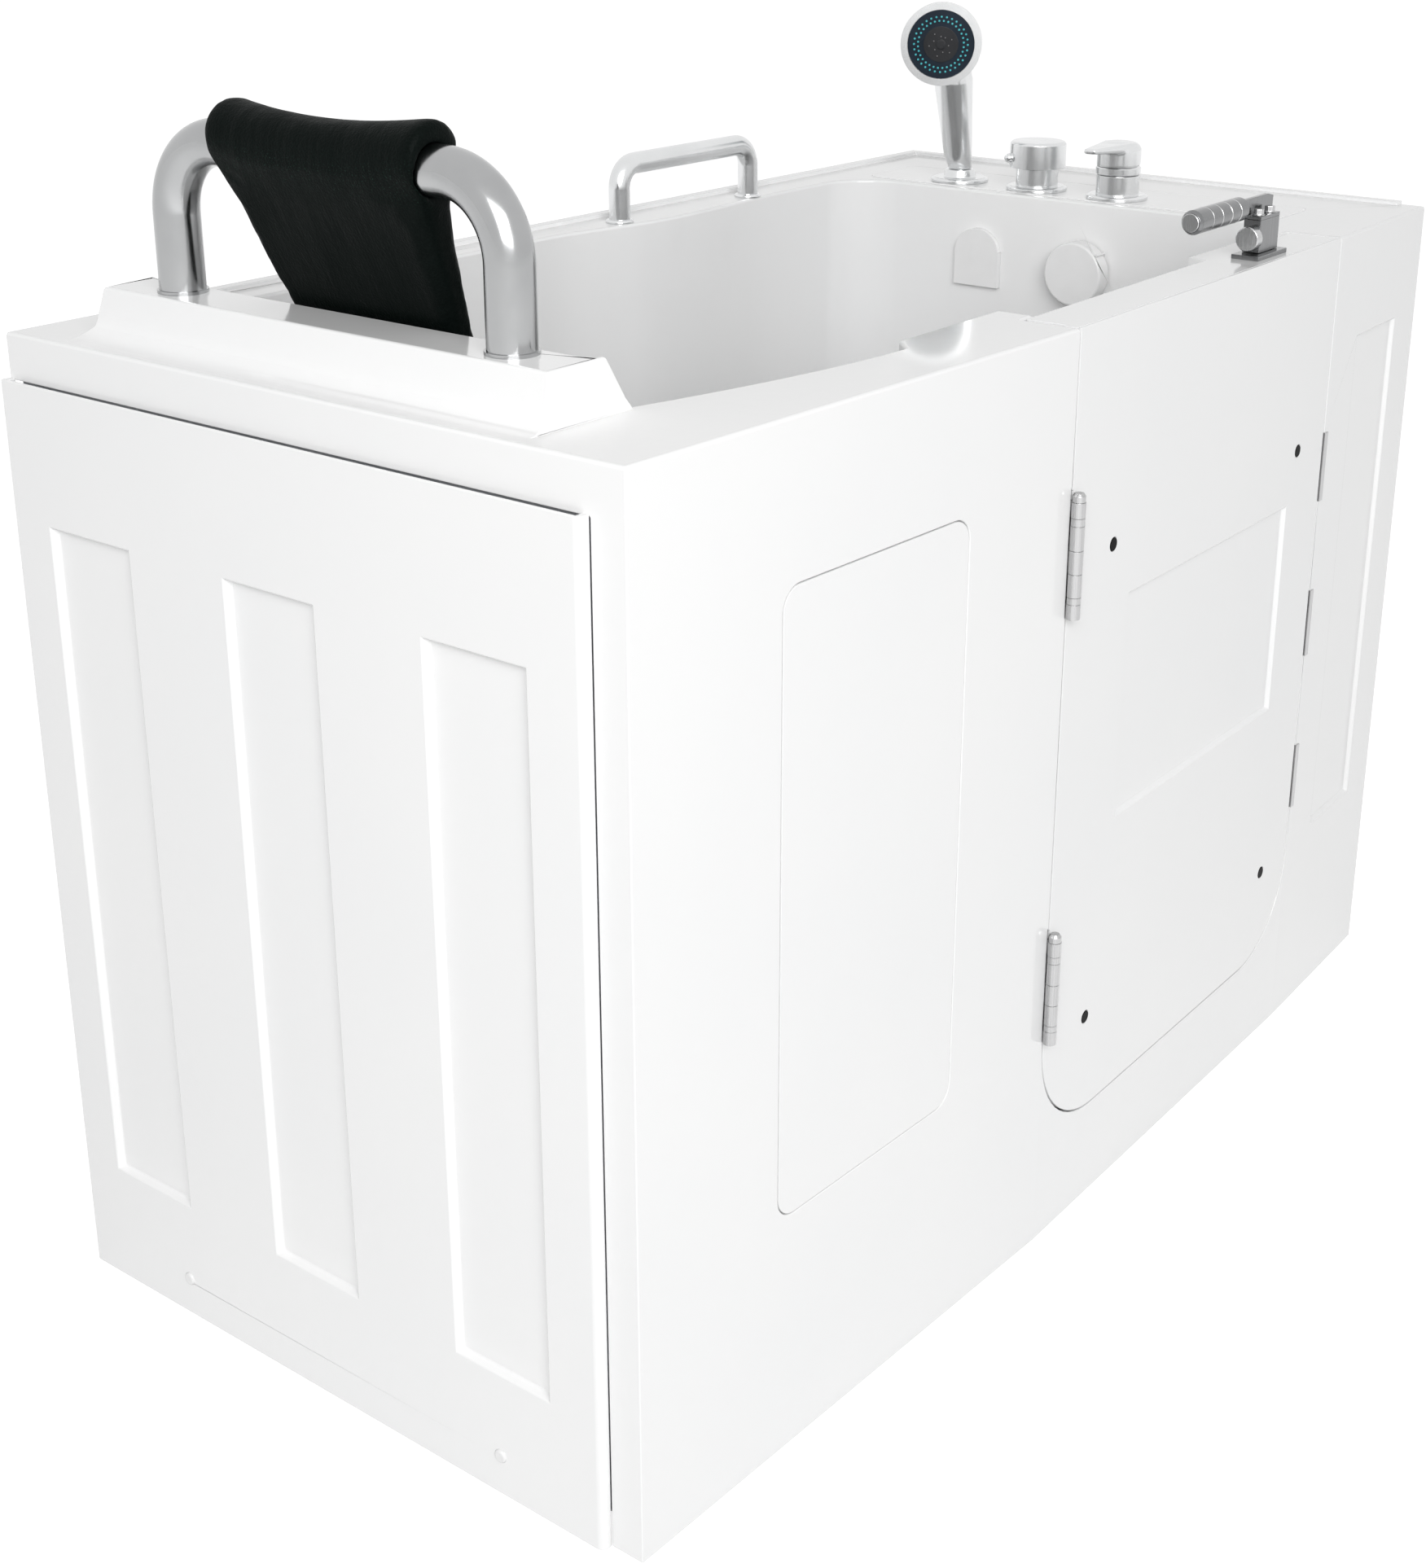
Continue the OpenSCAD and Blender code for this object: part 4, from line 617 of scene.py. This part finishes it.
shell = {
    "parts": ("deck", "basin", "front_apron", "door_frame"),
    "mergeGap": 0.00005,
    "flatAngle": 0.4,
    "widest": 0.004,  # width of the widest rounding, of which each edge takes a share
    "segments": 3,
    "angle": 30,
    "rimTop": (1.012, 1.022),  # heights, in metres
    "lipTop": 1.0185,
    "padTop": 1.0164,
    "plateauTop": 1.062,
    "undersideTilt": -0.2,  # z of a face's normal
    "topTilt": 0.5,
    "rimShare": 0.9,
    "plateauShare": 0.75,
    "plainShare": 0.3,
    "lipShare": 0.28,
    "padShare": 0.1,
    "smooth": 40,
    "level": 0.99999,
    "levelReach": 8,
}


def combined(base, other, operation):
    alone(base)
    step = base.modifiers.new("combined", "BOOLEAN")
    step.operation = operation
    step.solver = "MANIFOLD"
    step.object = other
    bpy.ops.object.modifier_apply(modifier="combined")
    bpy.data.objects.remove(other)


def joined(pieces):
    for other in pieces[1:]:
        combined(pieces[0], other, "UNION")
    return pieces[0]


def flattened(piece, gap, angle):
    alone(piece)
    bpy.ops.object.mode_set(mode="EDIT")
    bpy.ops.mesh.select_all(action="SELECT")
    bpy.ops.mesh.remove_doubles(threshold=gap)
    bpy.ops.mesh.dissolve_limited(angle_limit=math.radians(angle))
    bpy.ops.mesh.quads_convert_to_tris(quad_method="BEAUTY", ngon_method="BEAUTY")
    bpy.ops.object.mode_set(mode="OBJECT")


def weighEdges(piece, shareOf, angle):
    # marks each sharp edge with its share of the widest bevel
    mesh = bmesh.new()
    mesh.from_mesh(piece.data)
    layers = mesh.edges.layers.float
    layer = layers.get("bevel_weight_edge") or layers.new("bevel_weight_edge")
    for edge in mesh.edges:
        if len(edge.link_faces) == 2 and edge.calc_face_angle(0) > math.radians(angle):
            edge[layer] = shareOf(edge)
    mesh.to_mesh(piece.data)
    mesh.free()


def bevelByWeight(piece, width, segments):
    alone(piece)
    bevel = piece.modifiers.new("rounded", "BEVEL")
    bevel.width = width
    bevel.segments = segments
    bevel.limit_method = "WEIGHT"
    bevel.use_clamp_overlap = False
    bevel.loop_slide = False
    bevel.miter_outer = "MITER_ARC"
    bpy.ops.object.modifier_apply(modifier="rounded")


def shellShare(edge):
    # rim and plateau are rounded most, the tile lip and the pads less, the undersides not at all
    lower, upper = sorted(vert.co.z for vert in edge.verts)
    tilts = [face.normal.z for face in edge.link_faces]
    rimLow, rimHigh = shell["rimTop"]
    if lower > rimLow and min(tilts) < shell["undersideTilt"]:
        return 0.0
    if lower > rimLow and upper < rimHigh:
        if upper > shell["lipTop"] or not edge.is_convex:
            return shell["lipShare"]
        if upper > shell["padTop"]:
            return shell["padShare"]
        return shell["rimShare"] if max(tilts) > shell["topTilt"] else shell["plainShare"]
    if lower > shell["plateauTop"]:
        return shell["plateauShare"]
    return shell["plainShare"]


def levelled(piece, level, reach):
    # the corners of level faces take exactly their upright, so no fold shows on the rim and the deck
    mesh = piece.data
    uprights = {}
    for face in mesh.polygons:
        if face.normal.z > level:
            uprights.update((vert, face.normal.copy()) for vert in face.vertices)
    normals = [corner.vector.copy() for corner in mesh.corner_normals]
    for loop in mesh.loops:
        upright = uprights.get(loop.vertex_index)
        if upright and normals[loop.index].angle(upright) < math.radians(reach):
            normals[loop.index] = upright
    mesh.normals_split_custom_set(normals)


tubShell = joined([mergedCopy(node, node + "_part") for node in shell["parts"]])
tubShell.name = "tub_shell"
flattened(tubShell, shell["mergeGap"], shell["flatAngle"])
weighEdges(tubShell, shellShare, shell["angle"])
bevelByWeight(tubShell, shell["widest"], shell["segments"])
smoothed(tubShell, shell["smooth"])
levelled(tubShell, shell["level"], shell["levelReach"])
dress(tubShell, "gelcoat")
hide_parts(*shell["parts"])
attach(tubShell, bodyOf("deck"))
print("tub skin joined", len(tubShell.data.polygons))

# headrest pad: a stuffed skin that swells from the CAD's form and stays off the bar

pad = {
    "node": "headrest_pad",
    "voxel": 0.0031,
    "shrink": 0.0008,  # the skin starts this much inside the CAD's form
    "pressure": 4.0,
    "frames": 20,
    "cap": 0.003,  # farthest that any point swells
    "boreGap": 0.004,  # the skin this close around the bar is held
    "bar": "headrest_bar",
    "barRadius": 0.021,
    "lean": 3.0,
    "topShare": 0.965,  # width at the bar
    "topFrom": (1.10, 1.20),
    "relax": (0.5, 2),
    "cloth": {
        "quality": 4,
        "mass": 0.3,
        "tension_stiffness": 25,
        "compression_stiffness": 25,
        "bending_stiffness": 2,
    },
    "fill": 0.85,
}


def barAxis(p):
    # the bar's straight run lies along Y; its tube touches the top of the bar's box
    low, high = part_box(p["bar"])
    return (low[0] + high[0]) / 2, high[2] - p["barRadius"]


def drawnIn(piece, p):
    # only the outer skin starts smaller, so the wall around the bar stays whole
    x, z = barAxis(p)
    mesh = bmesh.new()
    mesh.from_mesh(piece.data)
    mesh.normal_update()
    for vert in mesh.verts:
        if math.hypot(vert.co.x - x, vert.co.z - z) > p["barRadius"] + p["boreGap"]:
            vert.co -= vert.normal * p["shrink"]
    # the lobes at the bar are a little narrower, and the pad hangs off the raised deck's edge
    low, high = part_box(p["node"])
    middle = (low[1] + high[1]) / 2
    bottom, top = p["topFrom"]
    for vert in mesh.verts:
        rise = min(max((vert.co.z - bottom) / (top - bottom), 0), 1)
        vert.co.y = middle + (vert.co.y - middle) * (1 + (p["topShare"] - 1) * rise)
    axis = Vector((x, middle, z))
    lean = Matrix.Rotation(math.radians(-p["lean"]), 4, "Y")
    mesh.transform(Matrix.Translation(axis) @ lean @ Matrix.Translation(-axis))
    mesh.to_mesh(piece.data)
    mesh.free()


def remeshed(piece, voxel):
    alone(piece)
    skin = piece.modifiers.new("skin", "REMESH")
    skin.mode = "VOXEL"
    skin.voxel_size = voxel
    skin.use_smooth_shade = True
    bpy.ops.object.modifier_apply(modifier="skin")


def relaxed(piece, share, times):
    alone(piece)
    even = piece.modifiers.new("relaxed", "SMOOTH")
    even.factor = share
    even.iterations = times
    bpy.ops.object.modifier_apply(modifier="relaxed")


def swollen(piece, p, pinned):
    held = piece.vertex_groups.new(name="held")
    held.add(pinned, 1.0, "REPLACE")
    start = [vert.co.copy() for vert in piece.data.vertices]
    alone(piece)
    bpy.ops.object.modifier_add(type="CLOTH")
    cloth = piece.modifiers[-1]
    for setting, value in p["cloth"].items():
        setattr(cloth.settings, setting, value)
    cloth.settings.use_pressure = True
    cloth.settings.uniform_pressure_force = p["pressure"]
    cloth.settings.effector_weights.gravity = 0
    cloth.settings.vertex_group_mass = "held"
    for step in range(1, p["frames"] + 1):
        bpy.context.scene.frame_set(step)
    bpy.ops.object.modifier_apply(modifier=cloth.name)
    bpy.context.scene.frame_set(1)
    # the skin never moves past the cap, and the pad's sides never pull in
    low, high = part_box(p["node"])
    middle = (low[1] + high[1]) / 2
    for vert, home in zip(piece.data.vertices, start):
        way = vert.co - home
        if way.y * (home.y - middle) < 0:
            way.y = 0
            vert.co.y = home.y
        if way.length > p["cap"]:
            vert.co = home + way.normalized() * p["cap"]
    piece.vertex_groups.clear()


def headrestPad(p):
    piece = mergedCopy(p["node"], "headrest_pad_cushion")
    drawnIn(piece, p)
    remeshed(piece, p["voxel"])
    x, z = barAxis(p)
    near = p["barRadius"] + p["boreGap"]
    pinned = [v.index for v in piece.data.vertices if math.hypot(v.co.x - x, v.co.z - z) < near]
    swollen(piece, p, pinned)
    relaxed(piece, *p["relax"])
    alone(piece)
    finer = piece.modifiers.new("finer", "SUBSURF")
    finer.levels = finer.render_levels = 1
    bpy.ops.object.modifier_apply(modifier="finer")
    bpy.ops.object.shade_smooth()
    dress(piece, slotOf[p["node"]])
    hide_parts(p["node"])
    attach(piece, bodyOf(p["node"]))


headrestPad(pad)
print("headrest pad stuffed")

# hand shower: nozzle rings, a disc with dots and a push button on the spray face

spray = {
    "face": "shower_face",
    "slot": "nozzle_plate",
    "turn": 28,
    "proud": 0.002,
    "rings": ((0.0342, 32, 0.0), (0.0292, 32, 0.5)),  # radius, nozzles, turn in steps
    "nozzle": (0.00125, 0.0012),  # radius and height, then sides and width of the shoulder
    "disc": (0.0222, 0.0006, 64, 0.04),
    "dotRing": (0.0150, 11, 0.66),  # reach, dots, share of the reach for every other dot
    "dot": (0.00075, 0.0009),
    "button": (0.0062, 0.0016, 40, 0.3),
    "smooth": 40,
    "topFacing": 0.9,
    "shoulderDrop": 0.25,
}


def sprayPlace(p):
    low, high = boxOf(p["face"])
    turn = math.radians(p["turn"])
    ahead = Vector((-math.cos(turn), -math.sin(turn), 0))
    side = Vector((-math.sin(turn), math.cos(turn), 0))
    up = Vector((0, 0, 1))
    front = (low + high) / 2 + ahead * p["proud"]
    return Matrix.Translation(front) @ Matrix((up, side, ahead)).transposed().to_4x4()


def roundStud(name, radius, height, sides=12, shoulder=0.35):
    # a low round stud with an eased top, standing on its own origin
    bpy.ops.object.select_all(action="DESELECT")
    middle = (0, 0, height / 2)
    bpy.ops.mesh.primitive_cylinder_add(vertices=sides, radius=radius, depth=height, location=middle)
    stud = bpy.context.object
    stud.name = name
    bpy.ops.object.transform_apply(location=True, rotation=True, scale=True)
    mesh = bmesh.new()
    mesh.from_mesh(stud.data)
    mesh.normal_update()
    for face in mesh.faces:
        face.select_set(face.normal.z > spray["topFacing"])
    mesh.select_flush_mode()
    mesh.to_mesh(stud.data)
    mesh.free()
    bpy.ops.object.mode_set(mode="EDIT")
    bpy.ops.mesh.select_mode(type="FACE")
    bpy.ops.mesh.inset(thickness=radius * shoulder, depth=height * spray["shoulderDrop"])
    bpy.ops.mesh.select_all(action="SELECT")
    bpy.ops.mesh.normals_make_consistent(inside=False)
    bpy.ops.object.mode_set(mode="OBJECT")
    return stud


def ringOf(name, stud, spots, where):
    copies = []
    for x, y in spots:
        alone(stud)
        bpy.ops.object.duplicate()
        copy = bpy.context.object
        copy.data.transform(where @ Matrix.Translation((x, y, 0)))
        copies.append(copy)
    bpy.data.objects.remove(stud)
    bpy.ops.object.select_all(action="DESELECT")
    for copy in copies:
        copy.select_set(True)
    bpy.context.view_layer.objects.active = copies[0]
    if len(copies) > 1:
        bpy.ops.object.join()
    copies[0].name = name
    return copies[0]


def addSpray(p):
    where = sprayPlace(p)
    body = bodyOf(p["face"])
    nozzles = []
    for radius, count, shift in p["rings"]:
        for i in range(count):
            at = 2 * math.pi * (i + shift) / count
            nozzles.append((radius * math.cos(at), radius * math.sin(at)))
    dotReach, dotCount, innerShare = p["dotRing"]
    dots = []
    for i in range(dotCount):
        at = 2 * math.pi * i / dotCount
        reach = dotReach * (1 if i % 2 else innerShare)
        dots.append((reach * math.cos(at), reach * math.sin(at)))
    onDisc = where @ Matrix.Translation((0, 0, p["disc"][1]))
    made = (
        ("spray_nozzles", "nozzle", nozzles, where, "tealNozzle"),
        ("spray_disc", "disc", [(0, 0)], where, "charcoal"),
        ("spray_dots", "dot", dots, onDisc, "grey_plastic"),
        ("spray_button", "button", [(0, 0)], onDisc, "charcoal"),
    )
    for name, form, spots, ground, finish in made:
        piece = ringOf(name, roundStud(form, *p[form]), spots, ground)
        smoothed(piece, p["smooth"])
        dress(piece, p["slot"], finish)
        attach(piece, body)


addSpray(spray)
print("spray face fitted")

# mixer lever: one flowing form, a domed cap over the body that runs out into a thin tip

lever = {
    "node": "mixer_lever",
    "capRadius": 0.0275,
    "capRings": ((0.0, 1.0), (0.0215, 1.0), (0.0255, 0.93), (0.0288, 0.80), (0.0303, 0.6), (0.0308, 0.3)),
    "capInset": 0.028,
    "tipReach": 0.0775,
    "tipHalf": 0.0078,
    "rootReach": 0.004,
    "rootHalf": 0.0235,
    "tipZ": (0.0222, 0.0287),
    "rootZ": (0.0175, 0.0300),
    "bladeEase": (0.0024, 4, 20),
    "voxel": 0.0009,
    "relax": (0.5, 14),
    "pocketRadius": 0.0247,
    "pocketTop": 0.0155,
    "pocketDrop": 0.002,
    "tilt": 15,
    "tiltGap": 0.0003,
    "roomSize": 0.12,
}


def lathed(name, radius, rings, sides=64):
    # a stack of rings drawn up from one circle; rings hold (height, share of the radius)
    bpy.ops.object.select_all(action="DESELECT")
    bpy.ops.mesh.primitive_circle_add(vertices=sides, radius=radius, fill_type="NGON")
    piece = bpy.context.object
    piece.name = name
    bpy.ops.object.mode_set(mode="EDIT")
    bpy.ops.mesh.select_all(action="SELECT")
    last = rings[0]
    for ring in rings[1:]:
        bpy.ops.mesh.extrude_region_move(TRANSFORM_OT_translate={"value": (0, 0, ring[0] - last[0])})
        share = ring[1] / last[1]
        bpy.ops.transform.resize(value=(share, share, 1), center_override=(0, 0, ring[0]))
        last = ring
    bpy.ops.mesh.select_all(action="SELECT")
    bpy.ops.mesh.normals_make_consistent(inside=False)
    bpy.ops.object.mode_set(mode="OBJECT")
    return piece


def leverBlade(p):
    bpy.ops.object.select_all(action="DESELECT")
    bpy.ops.mesh.primitive_cube_add(size=1)
    blade = bpy.context.object
    blade.name = "lever_blade"
    for vert in blade.data.vertices:
        atTip = vert.co.x < 0
        reach = -p["tipReach"] if atTip else p["rootReach"]
        half = p["tipHalf"] if atTip else p["rootHalf"]
        bottom, top = p["tipZ"] if atTip else p["rootZ"]
        vert.co = (reach, half if vert.co.y > 0 else -half, top if vert.co.z > 0 else bottom)
    easeEdges(blade, *p["bladeEase"])
    return blade


def tiltRoom(p):
    # a block whose sloping top leaves room for the cap's far side when the lever is raised
    bpy.ops.object.select_all(action="DESELECT")
    bpy.ops.mesh.primitive_cube_add(size=p["roomSize"], location=(0, 0, -p["roomSize"] / 2))
    room = bpy.context.object
    bpy.ops.object.transform_apply(location=True, rotation=True, scale=True)
    slope = Matrix.Rotation(math.radians(-p["tilt"]), 4, "Y")
    room.data.transform(Matrix.Translation((0, 0, p["tiltGap"])) @ slope)
    return room


def mixerLever(p):
    low, high = boxOf(p["node"])
    axis = Vector((high.x - p["capInset"], (low.y + high.y) / 2, low.z))
    cap = lathed("lever_cap", p["capRadius"], p["capRings"])
    piece = joined([cap, leverBlade(p)])
    piece.name = "mixer_lever_form"
    drop = p["pocketDrop"]
    pocket = lathed("lever_pocket", p["pocketRadius"], ((-drop, 1), (p["pocketTop"], 1)))
    pocket.data.transform(Matrix.Translation((0, 0, -drop)))
    combined(piece, pocket, "DIFFERENCE")
    combined(piece, tiltRoom(p), "DIFFERENCE")
    remeshed(piece, p["voxel"])
    relaxed(piece, *p["relax"])
    piece.data.transform(Matrix.Translation(axis))
    alone(piece)
    bpy.ops.object.shade_smooth()
    dress(piece, slotOf[p["node"]])
    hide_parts(p["node"])
    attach(piece, bodyOf(p["node"]))


mixerLever(lever)
print("mixer lever shaped")

# the turned sleeve between the mixer's body and its lever, almost as wide as the lever's cap

collar = {
    "node": "mixer_cartridge",
    "under": "mixer_lever",
    "radius": 0.0272,
    "gap": 0.0005,
    "lift": 0.0001,
    "chamfer": 0.001,
    "endShare": 0.965,
    "smooth": 40,
}


def mixerCollar(p):
    low, high = boxOf(p["node"])
    tall = boxOf(p["under"])[0].z - p["gap"] - low.z
    ends, chamfer = p["endShare"], p["chamfer"]
    rings = ((0, ends), (chamfer, 1), (tall - chamfer, 1), (tall, ends))
    piece = lathed("mixer_collar", p["radius"], rings)
    middle = (low + high) / 2
    piece.data.transform(Matrix.Translation((middle.x, middle.y, low.z + p["lift"])))
    smoothed(piece, p["smooth"])
    dress(piece, slotOf[p["under"]])
    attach(piece, bodyOf(p["node"]))


mixerCollar(collar)
print("mixer collar turned")

# bright rings in the grooves of the lock's grip, and a pale face at its free end, whose paleness is painted
# light for the light falling on faces toward the head end

grip = {
    "node": "lock_grip",
    "finish": "paleSteel",
    "sides": 48,
    "smooth": 30,
    "ringRadius": 0.0127,
    "ringWide": 0.0014,
    "ringEnds": 0.97,
    "ringChamfer": 0.25,
    "grooves": (0.0219, 0.0437, 0.0656, 0.0874),
    "grooveMid": 0.0008,
    "endRadius": 0.0098,
    "endThick": 0.0008,
    "endShare": 0.94,
    "endStraight": 0.5,
    "endProud": 0.25,
}


def onGrip(piece, middle, p):
    piece.data.transform(Matrix.Translation(middle))
    smoothed(piece, p["smooth"])
    dress(piece, slotOf[p["node"]], p["finish"])
    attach(piece, bodyOf(p["node"]))


def gripRings(p):
    low, high = boxOf(p["node"])
    wide, ends, chamfer = p["ringWide"], p["ringEnds"], p["ringChamfer"]
    profile = ((0, ends), (wide * chamfer, 1), (wide * (1 - chamfer), 1), (wide, ends))
    first = lathed("grip_ring_0", p["ringRadius"], profile, p["sides"])
    first.data.transform(Matrix.Rotation(math.radians(-90), 4, "Y"))
    first.data.transform(Matrix.Translation((wide / 2, 0, 0)))
    rings = [first]
    for i in range(1, len(p["grooves"])):
        again = first.copy()
        again.data = first.data.copy()
        again.name = "grip_ring_%d" % i
        bpy.context.scene.collection.objects.link(again)
        rings.append(again)
    for ring, groove in zip(rings, p["grooves"]):
        along = high.x - groove - p["grooveMid"]
        onGrip(ring, (along, (low.y + high.y) / 2, (low.z + high.z) / 2), p)


def gripEnd(p):
    low, high = boxOf(p["node"])
    thick = p["endThick"]
    profile = ((0, 1), (thick * p["endStraight"], 1), (thick, p["endShare"]))
    face = lathed("grip_end", p["endRadius"], profile, p["sides"])
    face.data.transform(Matrix.Rotation(math.radians(-90), 4, "Y"))
    along = low.x + thick * p["endProud"]
    onGrip(face, (along, (low.y + high.y) / 2, (low.z + high.z) / 2), p)


gripRings(grip)
gripEnd(grip)
print("grip rings and end fitted")

# how wide each remaining CAD piece's edges are eased; 0 leaves them as they are

easedNodes = {
    "door_seal": 0, "head_end_panel": 0.0015, "end_panel_screws": 0.001, "door_skin": 0.0012,
    "door_pan": 0.001, "door_screw_caps": 0, "hinge_leaf_door": 0.0003, "hinge_leaf_frame": 0.0003,
    "hinge_pins": 0.0002, "hinge_bushings": 0, "latch_keepers": 0.0002, "headrest_bar": 0,
    "headrest_nuts": 0.0003, "grab_bar": 0, "grab_bar_flanges": 0.0006, "shower_holder": 0.001,
    "diverter_base": 0.0008, "mixer_base": 0.0008, "valve_nuts": 0.0004, "filler_spout": 0.0015,
    "overflow_knob": 0.0012, "overflow_housing": 0.0005, "drain_body": 0.0005, "drain_strainer": 0.0003,
    "waste_pipe": 0, "lock_plate": 0.0006, "latch_guides": 0.0003, "lock_hub": 0.0008, "lock_bolts": 0.0005,
    "lock_arm": 0.0005, "lock_grip": 0.0005, "lock_cap": 0.0005, "latch_shaft": 0.0002, "latch_bar": 0.0003,
    "access_panel": 0.0008, "shower_handset": 0, "shower_face": 0.0005,
    "diverter_knob": 0.0008, "mixer_cartridge": 0.0003, "drain_stopper": 0.0005,
}
ownPieces = (*shell["parts"], pad["node"], lever["node"])
for node in sorted(frame["nodes"]):
    if node not in ownPieces:
        softened(node, easedNodes.get(node, cadCopy["plainEase"]))
print("CAD pieces eased", len(frame["nodes"]))
